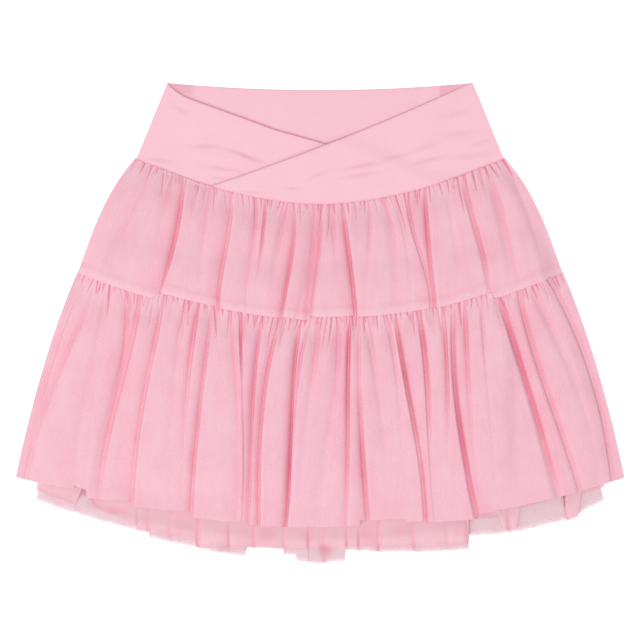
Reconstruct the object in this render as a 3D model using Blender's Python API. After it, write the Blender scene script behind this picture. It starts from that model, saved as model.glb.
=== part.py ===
"""A pink tiered skort laid flat, front up.

A crossover jersey waistband carries an upper and a lower tier of gathered tulle, a
longer second layer under the lower tier, and plain inner shorts. Back pieces rest on
the surface and front pieces lie on them.

Lengths are in millimetres until a wall is made, which turns them into metres. +X is
the wearer's left, +Y runs to the waist, +Z is up from the surface, and the origin is
on the surface under the middle of the garment.
"""
from collections import namedtuple

import bmesh
import bpy
import numpy as np

MM = 0.001

# Outline of the garment
HALF_LENGTH = 220.8
WAIST_HALF = 140.3
WAIST_DIP = 6.4
YOKE_HALF = 168.8
UPPER_HEAD_HALF = 169.6
TIER_SEAM_HALF = 222.6
HEM_HALF = 279.2
UNDERLAYER_HEAD_HALF = 206.0
UNDERLAYER_HEM_HALF = 261.0

# Cloth walls and the gap between pieces
TULLE = 1.2
JERSEY = 1.6
SHORTS_CLOTH = 1.2
BACK_TULLE = 1.4
GAP = 0.3

# Height of the folds and gathers on the front tiers
UPPER_FOLDS = 6.5
LOWER_FOLDS = 8.5
UNDERLAYER_FOLDS = 3.2
UNDERLAYER_COVERED_FOLDS = 0.8
GATHER_HEIGHT = 1.3
GATHER_FADE = 22.0
UPPER_GATHERS = 50
LOWER_GATHERS = 60
COLUMNS_PER_GATHER = 3
FULL_FOLD_AT = 38.0
UNDERLAYER_COLUMNS = 96

# Rows of the front tiers and the underlayer, as shares of the way from head to foot
UPPER_ROWS = (0.0, 0.09, 0.28, 0.55, 0.8, 1.0)
LOWER_ROWS = (0.0, 0.06, 0.2, 0.42, 0.7, 1.0)
UNDERLAYER_ROWS = (0.0, 0.3, 0.6, 0.75, 0.84, 0.88, 0.92, 0.96, 1.0)

# Inner shorts
SHORTS_HEAD_HALF = 148.0
SHORTS_LEG_HALF = 160.0
SHORTS_HEM_Y = -105.0
SHORTS_RISE_Y = -35.0
LEG_GAP_HALF = 7.0

# Width over which a covered layer lifts the one that lies on it
SIDE_DROP = 16.0
HEM_DROP = 16.0
LEG_DROP = 30.0
SECOND_RISE = 30.0

# How far past the edge of a covered layer the one on it starts to come down
CLEAR_BESIDE = 6.0
CLEAR_BELOW = 27.0
CLEAR_ABOVE = 24.0
CLEAR_HEM = 9.5
CLEAR_HEM_FRONT = 13.5

# Curves across the garment: height at the middle, rise at the side, half width, power
Curve = namedtuple("Curve", "middle rise half power")
YOKE_SEAM = Curve(109.0, 41.9, YOKE_HALF, 1.8)
TIER_SEAM = Curve(3.7, 42.3, TIER_SEAM_HALF, 1.9)
OUTER_HEM = Curve(-185.8, 44.2, HEM_HALF, 1.8)
UNDER_HEM = Curve(-216.2, 53.4, UNDERLAYER_HEM_HALF, 1.9)

# Crossover edge of the over panel: height at the middle, slope, bow, far end
CROSS_MIDDLE = 161.0
CROSS_SLOPE = 0.385
CROSS_BOW = 0.00028
CROSS_END = 98.0

# Points along the crossover edge of the under panel, which the over panel hides from the
# crossing at x = 7.5 on
Point = namedtuple("Point", "x y")
UNDER_EDGE = (
    Point(-140.3, 220.3),
    Point(-133.0, 213.5),
    Point(-125.0, 208.3),
    Point(-110.0, 202.5),
    Point(-73.6, 189.5),
    Point(-40.5, 177.3),
    Point(7.5, 163.9),
    Point(60.0, 143.0),
    Point(98.0, 124.5),
    Point(141.0, 108.0),
)

# Side edges of the tiers at the head, a third, two thirds and the foot of the tier
Edge = namedtuple("Edge", "head third two_thirds foot")
UPPER_SIDE = Edge(UPPER_HEAD_HALF, 193.4, 209.4, TIER_SEAM_HALF)
LOWER_SIDE = Edge(TIER_SEAM_HALF, 246.1, 264.3, HEM_HALF)
UNDERLAYER_SIDE = Edge(UNDERLAYER_HEAD_HALF, 226.0, 244.0, UNDERLAYER_HEM_HALF)

# Creases: where each runs (x at the head, third, two thirds, foot), how deep it is there
# as a share of the fold height, and how wide its left and right slopes are
Crease = namedtuple("Crease", "x0 x1 x2 x3 d0 d1 d2 d3 left right")
UPPER_CREASES = (
    Crease(-156.5, -169.5, -185.0, -195.0, 0.5, 0.65, 0.5, 0.3, 12.0, 8.3),
    Crease(-137.0, -144.5, -150.0, -156.5, 0.7, 0.35, 0.25, 0.1, 5.0, 5.0),
    Crease(-126.0, -129.5, -138.0, -148.0, 0.8, 1.0, 1.0, 1.0, 8.3, 2.3),
    Crease(-102.0, -106.5, -109.5, -108.5, 0.4, 0.5, 0.3, 0.1, 7.4, 7.4),
    Crease(-83.5, -83.5, -90.0, -94.0, 0.6, 0.85, 1.0, 1.0, 8.3, 2.3),
    Crease(-59.0, -60.5, -66.0, -70.5, 0.8, 0.65, 0.65, 0.4, 8.3, 5.5),
    Crease(-24.0, -24.5, -29.0, -36.0, 0.7, 0.8, 0.85, 1.0, 5.0, 2.3),
    Crease(-4.5, -8.5, -14.5, -20.0, 0.6, 0.8, 0.8, 0.8, 5.5, 4.6),
    Crease(2.5, -1.0, -4.5, -8.0, 0.4, 0.9, 0.95, 0.9, 5.5, 2.3),
    Crease(19.5, 25.5, 29.0, 32.0, 0.8, 0.95, 1.0, 1.0, 4.6, 2.8),
    Crease(45.0, 45.0, 43.0, 41.5, 0.6, 0.25, 0.0, 0.0, 3.7, 3.7),
    Crease(56.5, 67.0, 70.0, 71.0, 0.8, 0.6, 0.5, 0.4, 7.4, 7.4),
    Crease(80.5, 86.0, 93.5, 98.0, 0.9, 0.6, 0.7, 0.9, 2.3, 4.6),
    Crease(96.5, 98.0, 102.0, 105.5, 0.8, 0.95, 1.0, 1.0, 3.7, 2.3),
    Crease(115.0, 121.5, 127.0, 129.5, 0.6, 0.3, 0.1, 0.0, 3.7, 6.0),
    Crease(130.0, 139.0, 149.0, 155.5, 0.7, 0.75, 0.95, 0.95, 2.3, 5.5),
    Crease(151.0, 165.0, 172.5, 182.0, 0.7, 0.8, 0.5, 0.3, 6.4, 9.0),
    Crease(163.5, 184.0, 199.5, 210.0, 0.6, 0.4, 0.35, 0.3, 4.0, 5.0),
)
LOWER_CREASES = (
    Crease(-205.0, -232.0, -254.0, -267.5, 0.3, 0.8, 0.6, 0.35, 8.3, 3.7),
    Crease(-193.0, -204.0, -217.0, -225.5, 0.7, 0.3, 0.3, 0.3, 6.4, 8.3),
    Crease(-166.5, -177.5, -192.5, -203.5, 1.0, 1.0, 0.95, 0.7, 11.0, 2.3),
    Crease(-143.5, -156.0, -165.5, -173.5, 0.6, 0.85, 0.9, 1.0, 8.3, 2.3),
    Crease(-121.5, -130.5, -138.0, -142.5, 0.6, 0.25, 0.1, 0.0, 5.0, 6.0),
    Crease(-112.0, -120.5, -125.0, -128.0, 0.95, 0.9, 0.2, 0.0, 5.5, 2.8),
    Crease(-99.5, -107.5, -113.0, -119.0, 0.7, 0.7, 0.85, 1.0, 5.5, 2.3),
    Crease(-82.0, -78.0, -78.0, -78.5, 0.6, 0.7, 0.45, 0.6, 9.0, 3.7),
    Crease(-56.0, -60.5, -63.0, -66.0, 0.6, 0.9, 0.7, 0.8, 5.5, 2.3),
    Crease(-37.5, -50.0, -53.5, -55.0, 0.6, 0.8, 0.7, 0.7, 6.4, 2.3),
    Crease(-17.5, -25.5, -27.5, -31.5, 1.0, 1.0, 0.95, 1.0, 6.4, 2.3),
    Crease(15.5, 12.0, 4.5, 0.0, 0.8, 0.55, 0.35, 0.15, 8.3, 4.6),
    Crease(27.0, 26.0, 25.0, 23.5, 0.9, 0.95, 0.9, 0.6, 3.7, 2.8),
    Crease(37.0, 39.0, 41.0, 43.0, 0.3, 0.5, 1.0, 1.0, 3.7, 2.8),
    Crease(44.0, 54.5, 60.0, 62.5, 0.8, 0.35, 0.15, 0.0, 3.7, 8.3),
    Crease(60.5, 72.0, 75.5, 77.5, 0.7, 0.3, 0.0, 0.0, 3.7, 4.6),
    Crease(71.0, 80.0, 90.5, 96.5, 0.9, 1.0, 0.8, 1.0, 2.3, 6.4),
    Crease(89.0, 97.0, 102.0, 106.5, 0.9, 0.75, 0.25, 0.15, 2.8, 5.5),
    Crease(109.5, 117.0, 119.5, 123.5, 0.8, 0.7, 0.1, 0.0, 4.6, 2.8),
    Crease(119.5, 123.5, 130.5, 143.5, 0.7, 0.8, 1.0, 1.0, 2.3, 5.5),
    Crease(130.0, 136.0, 145.0, 156.0, 0.9, 0.6, 0.25, 0.0, 4.6, 3.7),
    Crease(163.0, 184.0, 202.5, 218.0, 0.95, 1.0, 1.0, 0.8, 2.3, 7.4),
    Crease(184.0, 199.5, 220.0, 239.0, 0.85, 0.8, 0.75, 0.6, 3.7, 7.4),
    Crease(207.0, 230.0, 250.0, 262.0, 0.6, 0.6, 0.5, 0.3, 4.6, 8.0),
)
UNDERLAYER_CREASES = (
    Crease(-150.0, -157.0, -161.0, -164.5, 0.6, 0.7, 0.8, 0.7, 9.0, 3.0),
    Crease(-95.0, -98.0, -99.0, -100.5, 0.6, 0.7, 0.8, 0.9, 9.0, 3.0),
    Crease(-62.0, -65.0, -67.0, -69.0, 0.6, 0.7, 0.8, 0.9, 6.0, 3.0),
    Crease(-33.0, -33.5, -33.5, -33.5, 0.6, 0.7, 0.8, 0.9, 6.0, 3.0),
    Crease(0.0, -4.0, -8.0, -10.0, 0.5, 0.5, 0.5, 0.5, 7.0, 7.0),
    Crease(22.0, 23.0, 24.0, 24.5, 0.6, 0.8, 1.0, 1.0, 5.0, 3.0),
    Crease(42.0, 43.0, 44.0, 45.0, 0.6, 0.8, 0.9, 0.9, 5.0, 6.0),
    Crease(72.0, 76.0, 80.0, 83.0, 0.5, 0.5, 0.5, 0.6, 6.0, 4.0),
    Crease(108.0, 118.0, 128.0, 136.5, 0.6, 0.7, 0.9, 0.9, 3.0, 7.0),
    Crease(148.0, 158.0, 168.0, 176.0, 0.5, 0.5, 0.6, 0.6, 6.0, 6.0),
    Crease(180.0, 200.0, 220.0, 232.0, 0.6, 0.7, 0.8, 0.8, 4.0, 7.0),
)

# Stretches of a hem between its stepped folds: where each starts, and how far it hangs
# below the plain curve at its start and its end
Stretch = namedtuple("Stretch", "start drop end_drop")
OUTER_STRETCHES = (
    Stretch(-HEM_HALF, 0.0, -3.5),
    Stretch(-225.5, 3.7, -4.0),
    Stretch(-173.5, 1.2, -4.1),
    Stretch(-119.0, 2.1, 0.6),
    Stretch(-66.0, 2.2, 1.0),
    Stretch(37.0, -4.4, -2.6),
    Stretch(52.0, -3.2, -1.8),
    Stretch(79.5, 1.1, 2.0),
    Stretch(97.0, 4.0, 7.3),
    Stretch(144.0, 2.7, 3.4),
    Stretch(162.0, 2.3, 2.3),
    Stretch(230.0, 1.9, 0.0),
)
UNDER_FRONT_STRETCHES = (
    Stretch(-UNDERLAYER_HEM_HALF, -9.0, -9.0),
    Stretch(-223.0, -26.0, -24.0),
    Stretch(-209.0, -13.0, -8.0),
    Stretch(-168.0, -3.5, -3.5),
    Stretch(-157.5, -5.0, -6.0),
    Stretch(-112.5, 1.0, 1.0),
    Stretch(-102.0, -3.5, -5.0),
    Stretch(-69.0, -6.5, -9.0),
    Stretch(-33.5, -8.5, -9.5),
    Stretch(24.5, -11.0, 2.0),
    Stretch(136.5, -20.0, -16.0),
    Stretch(166.0, -3.0, 0.0),
    Stretch(184.0, -18.0, -18.0),
    Stretch(226.0, 6.0, 6.0),
    Stretch(238.0, -14.0, -12.0),
)
UNDER_BACK_STRETCHES = (
    Stretch(-UNDERLAYER_HEM_HALF, 0.0, -3.0),
    Stretch(-157.5, 1.3, 0.5),
    Stretch(-100.5, 3.0, 1.5),
    Stretch(-69.0, -6.0, -7.0),
    Stretch(-33.5, -2.0, -2.0),
    Stretch(-21.0, 3.2, 4.6),
    Stretch(0.0, 4.6, 3.4),
    Stretch(23.0, -7.4, 7.4),
    Stretch(137.0, -5.0, 2.6),
    Stretch(184.0, 3.0, 5.0),
    Stretch(232.0, 5.0, 0.0),
)

# Colours, as linear red, green and blue
JERSEY_PINK = (0.93, 0.56, 0.65)
TULLE_PINK = (0.93, 0.50, 0.60)
SHEER_PINK = (0.94, 0.60, 0.68)
SHORTS_PINK = (0.90, 0.48, 0.58)


def smooth(share):
    """0 to 1 with a level start and end."""
    share = np.clip(share, 0.0, 1.0)
    return share * share * (3.0 - 2.0 * share)


def curve_y(curve, x):
    """Height of a curve that rises from the middle of the garment to both sides."""
    return curve.middle + curve.rise * (np.abs(x) / curve.half) ** curve.power


def hem_y(curve, stretches, x):
    """A curve with the small steps where its folds overlap."""
    starts = [stretch.start for stretch in stretches] + [curve.half]
    drop = np.zeros_like(x)
    for stretch, end in zip(stretches, starts[1:]):
        along = np.clip((x - stretch.start) / (end - stretch.start), 0.0, 1.0)
        level = stretch.drop + (stretch.end_drop - stretch.drop) * along
        drop = np.where(x > stretch.start + 0.5, level, drop)
    return curve_y(curve, x) - drop


def cross_y(x):
    """Crossover edge of the over panel, which falls from the wearer's left to right."""
    return CROSS_MIDDLE + CROSS_SLOPE * x + CROSS_BOW * x * x


def under_y(x):
    """Crossover edge of the under panel, which falls from the wearer's right to left."""
    return np.interp(x, [point.x for point in UNDER_EDGE], [point.y for point in UNDER_EDGE])


def through_four(values, v):
    """The smooth curve through values at the head, a third, two thirds and the foot."""
    stations = (0.0, 1 / 3, 2 / 3, 1.0)
    total = 0.0
    for here, value in zip(stations, values):
        weight = 1.0
        for other in stations:
            if other != here:
                weight = weight * (v - other) / (here - other)
        total = total + weight * value
    return total


def column_x(side, creases, count, v):
    """x of every column of cloth at height share v, so that columns follow the creases."""
    width = side.head * 2
    marks = [0] + [round((c.x0 + side.head) / width * count) for c in creases] + [count]
    paths = [[-x for x in side]] + [c[:4] for c in creases] + [list(side)]
    return np.interp(np.arange(count + 1), marks, [through_four(path, v) for path in paths])


def open_share(creases, x, v):
    """Height left by the creases at x: 1 on open cloth, 0 in the deepest crease."""
    share = np.ones_like(x)
    for crease in creases:
        offset = x - through_four(crease[:4], v)
        depth = np.interp(v, (0.0, 1 / 3, 2 / 3, 1.0), crease[4:8])
        width = np.where(offset < 0, crease.left, crease.right)
        share = share * (1.0 - depth / (1.0 + (offset / width) ** 2) ** 1.2)
    return share


def gathers(count, fade):
    """Small tucks drawn up by a seam, one to three columns, uneven in height."""
    column = np.arange(count + 1)
    tuck = np.choose(column % COLUMNS_PER_GATHER, (0.5, 1.0, 0.0))
    uneven = 0.75 + 0.25 * np.sin(1.7 * column) * np.cos(0.31 * column)
    return GATHER_HEIGHT * tuck * uneven * fade


def side_cover(x, half):
    """1 over the covered layers, falling to 0 at the side edges of a front piece."""
    return smooth((half - np.abs(x) - 2.0) / SIDE_DROP)


def shorts_lift(x, y):
    """1 where the shorts lie underneath, 0 past their side and leg hems."""
    beside = smooth((SHORTS_LEG_HALF + CLEAR_BESIDE + SIDE_DROP - np.abs(x)) / SIDE_DROP)
    below = smooth((y - SHORTS_HEM_Y + CLEAR_BELOW + LEG_DROP) / LEG_DROP)
    return beside * below


def second_layer_rise(x, y):
    """1 from the tier seam down, where the back underlayer starts to lie underneath."""
    return smooth((curve_y(TIER_SEAM, x) + CLEAR_ABOVE + SECOND_RISE - y) / SECOND_RISE)


def drop_past_hem(x, y, clear):
    """1 inside the outer hem, 0 where the underlayer has come down clear past it."""
    hem = np.minimum(hem_y(OUTER_HEM, OUTER_STRETCHES, x), curve_y(OUTER_HEM, x))
    return smooth((y - hem + clear + HEM_DROP) / HEM_DROP)


# Undersides of the pieces, from the surface up
UNDERLAYER_BACK_LEVEL = BACK_TULLE + GAP
SHORTS_BACK_LEVEL = BACK_TULLE + GAP
SECOND_LAYER = TULLE + GAP
SHORTS_FRONT_LEVEL = SHORTS_BACK_LEVEL + SHORTS_CLOTH + GAP
SHORTS_STACK = 2 * (SHORTS_CLOTH + GAP)
UNDERLAYER_FRONT_LEVEL = UNDERLAYER_BACK_LEVEL + SECOND_LAYER
LOWER_FRONT_LEVEL = UNDERLAYER_FRONT_LEVEL + SECOND_LAYER + UNDERLAYER_COVERED_FOLDS + 0.2
SIDE_LEVEL = BACK_TULLE + GAP


def underlayer_front_level(x, y):
    covered = UNDERLAYER_FRONT_LEVEL + SHORTS_STACK * shorts_lift(x, y)
    on_back_layer = SECOND_LAYER + GAP
    return on_back_layer + (covered - on_back_layer) * drop_past_hem(x, y, CLEAR_HEM_FRONT)


def lower_front_level(x, y, half):
    covered = LOWER_FRONT_LEVEL + SHORTS_STACK * shorts_lift(x, y)
    return SIDE_LEVEL + (covered - SIDE_LEVEL) * side_cover(x, half)


def upper_front_level(x, y, half):
    over_shorts = SIDE_LEVEL + SHORTS_STACK
    over_second = LOWER_FRONT_LEVEL + SHORTS_STACK
    covered = over_shorts + (over_second - over_shorts) * second_layer_rise(x, y)
    return SIDE_LEVEL + (covered - SIDE_LEVEL) * side_cover(x, half)


def seam_top(x):
    """Upper face of the upper tier at the tier seam, which the lower tier starts from."""
    level = upper_front_level(x, curve_y(TIER_SEAM, x), TIER_SEAM_HALF)
    return level + TULLE + 0.5 * UPPER_FOLDS * open_share(UPPER_CREASES, x, 1.0)


def make_material(name, colour):
    material = bpy.data.materials.new(name)
    material.use_nodes = True
    shader = material.node_tree.nodes["Principled BSDF"]
    shader.inputs["Base Color"].default_value = (*colour, 1.0)
    shader.inputs["Roughness"].default_value = 0.85
    shader.inputs["Metallic"].default_value = 0.0
    return material


def make_wall(name, x, y, low, high, colour):
    """A closed wall of cloth over a grid of rows and columns."""
    rows, columns = x.shape
    bm = bmesh.new()
    bmesh.ops.create_grid(bm, x_segments=columns - 1, y_segments=rows - 1, size=1.0)
    upper = bm.verts.layers.float.new("upper face")
    for vertex in bm.verts:
        column = round((vertex.co.x + 1.0) / 2.0 * (columns - 1))
        row = round((1.0 - vertex.co.y) / 2.0 * (rows - 1))
        vertex.co = [MM * float(values[row, column]) for values in (x, y, low)]
        vertex[upper] = MM * float(high[row, column])
    wall = bmesh.ops.extrude_face_region(bm, geom=bm.faces[:], use_keep_orig=True)
    for part in wall["geom"]:
        if isinstance(part, bmesh.types.BMVert):
            part.co.z = part[upper]
    bmesh.ops.recalc_face_normals(bm, faces=bm.faces[:])
    mesh = bpy.data.meshes.new(name)
    bm.to_mesh(mesh)
    bm.free()
    mesh.shade_smooth()
    mesh.set_sharp_from_angle(angle=0.9)
    mesh.materials.append(make_material(name, colour))
    piece = bpy.data.objects.new(name, mesh)
    bpy.context.scene.collection.objects.link(piece)
    return piece


def under_face(x, top, level, thickness):
    """Lower face that keeps the wall its thickness on slopes, clear of what is below."""
    slope = np.gradient(top, axis=1) / np.maximum(np.gradient(x, axis=1), 0.5)
    stretch = np.sqrt(1.0 + np.minimum(np.abs(slope), 2.5) ** 2)
    return np.maximum(top - thickness * stretch, level)


def evenly(rows):
    return np.linspace(0.0, 1.0, rows + 1)


def flat_panel(name, shares, columns, head, foot, level, thickness, colour, side=None):
    """A flat piece between a head edge and a foot edge, each given from 0 to 1 across."""
    across = evenly(columns)
    share = np.array(shares)[:, None]
    head_x, head_y = head(across)
    foot_x, foot_y = foot(across)
    x = head_x + (foot_x - head_x) * share
    if side:
        x = (across * 2.0 - 1.0) * through_four(side, share)
    y = head_y + (foot_y - head_y) * share
    low = level(x, y)
    return make_wall(name, x, y, low, low + thickness, colour)


def on_curve(curve, half, offset=0.0):
    """An edge that follows a curve from side to side, moved down by offset."""
    def edge(across):
        x = (across * 2.0 - 1.0) * half
        return x, curve_y(curve, x) - offset
    return edge


def flat_on(level):
    return lambda x, y: np.full_like(x, level)


def build_waistband():
    """Back band, then the under panel, then the over panel that crosses it."""
    def back_top(across):
        x = (across * 2.0 - 1.0) * WAIST_HALF
        return x, HALF_LENGTH - WAIST_DIP * (1.0 - (x / WAIST_HALF) ** 2)

    foot = on_curve(YOKE_SEAM, YOKE_HALF)
    flat_panel("waistband_back", evenly(4), 24, back_top, foot, flat_on(0.0), JERSEY, JERSEY_PINK)

    def crossing_edge(edge_y, direction):
        """Top edge from the side to the far end of the crossover, then its foot."""
        def top(across):
            x = direction * (WAIST_HALF - across * (WAIST_HALF + CROSS_END - 3.0))
            return x, edge_y(x) + 0.3 * across

        def bottom(across):
            x = direction * (YOKE_HALF - across * (YOKE_HALF + CROSS_END))
            return x, curve_y(YOKE_SEAM, x)

        return (top, bottom)

    under_level = JERSEY + GAP
    over_level = under_level + JERSEY + GAP

    def over(x, y):
        above_under = smooth((y - under_y(x) - 3.0) / 18.0)
        at_side = 1.0 - smooth((YOKE_HALF - x - 4.0) / SIDE_DROP)
        return over_level - (JERSEY + GAP) * np.maximum(above_under, at_side)

    top, bottom = crossing_edge(under_y, -1)
    flat_panel("waistband_front_under", evenly(5), 26, top, bottom, flat_on(under_level),
               JERSEY, JERSEY_PINK)
    top, bottom = crossing_edge(cross_y, 1)
    flat_panel("waistband_front_over", evenly(5), 26, top, bottom, over, JERSEY, JERSEY_PINK)


def build_upper_tier():
    head = on_curve(YOKE_SEAM, UPPER_HEAD_HALF, GAP)
    foot = on_curve(TIER_SEAM, TIER_SEAM_HALF)
    flat_panel("tier1_back", evenly(4), 30, head, foot, flat_on(0.0), BACK_TULLE, TULLE_PINK,
               UPPER_SIDE)

    shares = np.array(UPPER_ROWS)
    count = UPPER_GATHERS * COLUMNS_PER_GATHER
    x = np.array([column_x(UPPER_SIDE, UPPER_CREASES, count, v) for v in shares])
    head_y = curve_y(YOKE_SEAM, x[0]) - GAP
    foot_y = curve_y(TIER_SEAM, x[-1])
    y = head_y + (foot_y - head_y) * shares[:, None]
    top = np.empty_like(x)
    level = np.empty_like(x)
    for row, v in enumerate(shares):
        below_head = head_y - y[row]
        height = UPPER_FOLDS * (0.15 + 0.85 * smooth(below_head / FULL_FOLD_AT))
        height = height * (1.0 - 0.5 * smooth((v - 0.55) / 0.45))
        folds = height * open_share(UPPER_CREASES, x[row], v)
        level[row] = upper_front_level(x[row], y[row], through_four(UPPER_SIDE, v))
        top[row] = level[row] + TULLE + folds
        top[row] += gathers(count, np.exp(-below_head / GATHER_FADE))
    low = under_face(x, top, level, TULLE)
    make_wall("tier1_front", x, y, low, top, TULLE_PINK)


def build_lower_tier():
    head = on_curve(TIER_SEAM, LOWER_SIDE.head, GAP)
    foot = on_curve(OUTER_HEM, LOWER_SIDE.foot)
    flat_panel("tier2_back", evenly(5), 30, head, foot, flat_on(0.0), BACK_TULLE, TULLE_PINK,
               LOWER_SIDE)

    shares = np.array(LOWER_ROWS)
    count = LOWER_GATHERS * COLUMNS_PER_GATHER
    x = np.array([column_x(LOWER_SIDE, LOWER_CREASES, count, v) for v in shares])
    head_y = curve_y(TIER_SEAM, x[0]) - GAP
    foot_y = hem_y(OUTER_HEM, OUTER_STRETCHES, x[-1])
    y = head_y + (foot_y - head_y) * shares[:, None]
    top = np.empty_like(x)
    level = np.empty_like(x)
    for row, v in enumerate(shares):
        below_head = head_y - y[row]
        folds = LOWER_FOLDS * open_share(LOWER_CREASES, x[row], v)
        level[row] = lower_front_level(x[row], y[row], through_four(LOWER_SIDE, v))
        free = level[row] + TULLE + folds
        hung = smooth(below_head / FULL_FOLD_AT)
        top[row] = seam_top(x[row]) * (1.0 - hung) + free * hung
        top[row] += gathers(count, np.exp(-below_head / GATHER_FADE))
    low = under_face(x, top, level, TULLE)
    make_wall("tier2_front", x, y, low, top, TULLE_PINK)


def build_underlayer():
    """The longer second layer of the lower tier, which steps out below the hem."""
    shares = np.array(UNDERLAYER_ROWS)
    count = UNDERLAYER_COLUMNS
    x = np.array([column_x(UNDERLAYER_SIDE, UNDERLAYER_CREASES, count, v) for v in shares])
    head_y = curve_y(TIER_SEAM, x[0]) - GAP

    foot_y = hem_y(UNDER_HEM, UNDER_BACK_STRETCHES, x[-1])
    y = head_y + (foot_y - head_y) * shares[:, None]
    low = UNDERLAYER_BACK_LEVEL * drop_past_hem(x, y, CLEAR_HEM)
    make_wall("underlayer_back", x, y, low, low + TULLE, SHEER_PINK)

    foot_y = hem_y(UNDER_HEM, UNDER_FRONT_STRETCHES, x[-1])
    y = head_y + (foot_y - head_y) * shares[:, None]
    level = underlayer_front_level(x, y)
    shown = smooth((hem_y(OUTER_HEM, OUTER_STRETCHES, x) - y - 8.0) / HEM_DROP)
    height = UNDERLAYER_COVERED_FOLDS + (UNDERLAYER_FOLDS - UNDERLAYER_COVERED_FOLDS) * shown
    share = np.array([open_share(UNDERLAYER_CREASES, x[row], v)
                      for row, v in enumerate(shares)])
    top = level + TULLE + height * share
    low = under_face(x, top, level, TULLE)
    make_wall("underlayer_front", x, y, low, top, SHEER_PINK)


def build_shorts():
    """Plain inner shorts, sewn into the yoke seam, with two short legs."""
    head = on_curve(YOKE_SEAM, SHORTS_HEAD_HALF, 2 * GAP)

    def legs(across):
        x = (across * 2.0 - 1.0) * SHORTS_LEG_HALF
        between = np.clip(1.0 - np.abs(x) / LEG_GAP_HALF, 0.0, 1.0)
        return x, SHORTS_HEM_Y + (SHORTS_RISE_Y - SHORTS_HEM_Y) * between

    def back(x, y):
        return SHORTS_BACK_LEVEL + SECOND_LAYER * second_layer_rise(x, y)

    def front(x, y):
        return back(x, y) + SHORTS_CLOTH + GAP

    flat_panel("shorts_back", evenly(10), 40, head, legs, back, SHORTS_CLOTH, SHORTS_PINK)
    flat_panel("shorts_front", evenly(10), 40, head, legs, front, SHORTS_CLOTH, SHORTS_PINK)


for old in list(bpy.data.objects):
    bpy.data.objects.remove(old)

build_waistband()
build_upper_tier()
build_lower_tier()
build_underlayer()
build_shorts()
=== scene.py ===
"""Looks of a pink tiered skort that lies flat, front up, seen from straight above.

Lengths are in millimetres until a sheet is made, which turns them into metres. +X is
the wearer's left, +Y runs to the waist, and +Z is up from the surface.
"""
import math
from collections import namedtuple

import bmesh
import bpy
import numpy as np
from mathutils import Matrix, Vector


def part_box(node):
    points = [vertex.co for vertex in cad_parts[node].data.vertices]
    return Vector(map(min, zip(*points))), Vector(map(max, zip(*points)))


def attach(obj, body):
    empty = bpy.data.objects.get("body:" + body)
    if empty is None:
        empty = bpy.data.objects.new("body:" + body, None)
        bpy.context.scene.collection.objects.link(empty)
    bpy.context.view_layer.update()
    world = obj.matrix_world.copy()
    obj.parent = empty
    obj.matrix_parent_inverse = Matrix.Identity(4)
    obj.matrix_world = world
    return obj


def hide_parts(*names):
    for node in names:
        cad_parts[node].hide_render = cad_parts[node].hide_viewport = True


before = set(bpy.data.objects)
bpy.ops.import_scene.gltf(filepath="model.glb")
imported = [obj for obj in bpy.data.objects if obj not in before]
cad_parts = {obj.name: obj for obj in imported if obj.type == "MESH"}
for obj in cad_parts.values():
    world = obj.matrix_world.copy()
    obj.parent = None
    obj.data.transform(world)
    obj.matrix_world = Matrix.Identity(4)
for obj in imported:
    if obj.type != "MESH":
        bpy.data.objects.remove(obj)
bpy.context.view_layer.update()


# Sizes read from the solids
MM = 0.001


def low_y(node):
    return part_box(node)[0][1] / MM


def half_x(node):
    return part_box(node)[1][0] / MM


HALF_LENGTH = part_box("waistband_back")[1][1] / MM
YOKE_HALF = half_x("waistband_back")
TIER_SEAM_HALF = half_x("tier1_back")
HEM_HALF = half_x("tier2_back")
UNDERLAYER_HEM_HALF = half_x("underlayer_back")

# Sizes that the solids' boxes do not give
WAIST_HALF = 140.3
WAIST_DIP = 6.4
UPPER_HEAD_HALF = 169.6
UNDERLAYER_HEAD_HALF = 206.0
GAP = 0.3
TULLE_WALL = 1.2
BACK_WALL = 1.4
JERSEY_WALL = 1.6
SHORTS_WALL = 1.2

# Thickness of the cloth itself
TULLE = 0.35
JERSEY = 0.9
SHORTS_JERSEY = 0.8

# Widths and heights of the cut tulle of one side, in metres
UPPER_CUT = (0.530, 0.112)
LOWER_CUT = (0.690, 0.198)

# Heights of folds, gathers, ripples and seams, and how far they reach
UPPER_FOLDS = 7.0
LOWER_FOLDS = 8.8
UNDERLAYER_FOLDS = 3.4
UNDERLAYER_COVERED_FOLDS = 0.8
UNDERLAYER_BACK_FOLDS = 0.5
GATHER_HEIGHT = 1.6
BACK_FOLDS = 0.8
RIPPLE_HEIGHT = 0.42
RIPPLE_REACH = 20.0
BAND_CURL = 0.95
FULL_FOLD_AT = 34.0
CRISP_EDGE = 1.3
STRIP_SHIFT = 0.6
CRISP_SLOPE = 1.5 * CRISP_EDGE
SEAM_BAND = 6.4
SEAM_BAND_HEIGHT = 0.5
SEAM_ROLL = 0.7
SEAM_SLANT = 3.2
LARGE_STEP = 3.0
STEP_FOLD_HEIGHT = 1.2
HEAD_TUCK = 0.6
HEAD_OVERLAP = 0.4
UNDER_PANEL_DIP = 1.4

# Curves across the garment: height at the middle, rise at the side, half width, power
Curve = namedtuple("Curve", "middle rise half power")
YOKE_SEAM = Curve(low_y("waistband_back"), 41.9, YOKE_HALF, 1.8)
TIER_SEAM = Curve(low_y("tier1_back"), 42.3, TIER_SEAM_HALF, 1.9)
OUTER_HEM = Curve(low_y("tier2_back"), 44.2, HEM_HALF, 1.8)
UNDER_HEM = Curve(-216.2, 53.4, UNDERLAYER_HEM_HALF, 1.9)

# Crossover edge of the over panel: height at the middle, slope, bow, far end
CROSS_MIDDLE = 161.0
CROSS_SLOPE = 0.385
CROSS_BOW = 0.00028
CROSS_END = 98.0

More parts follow.
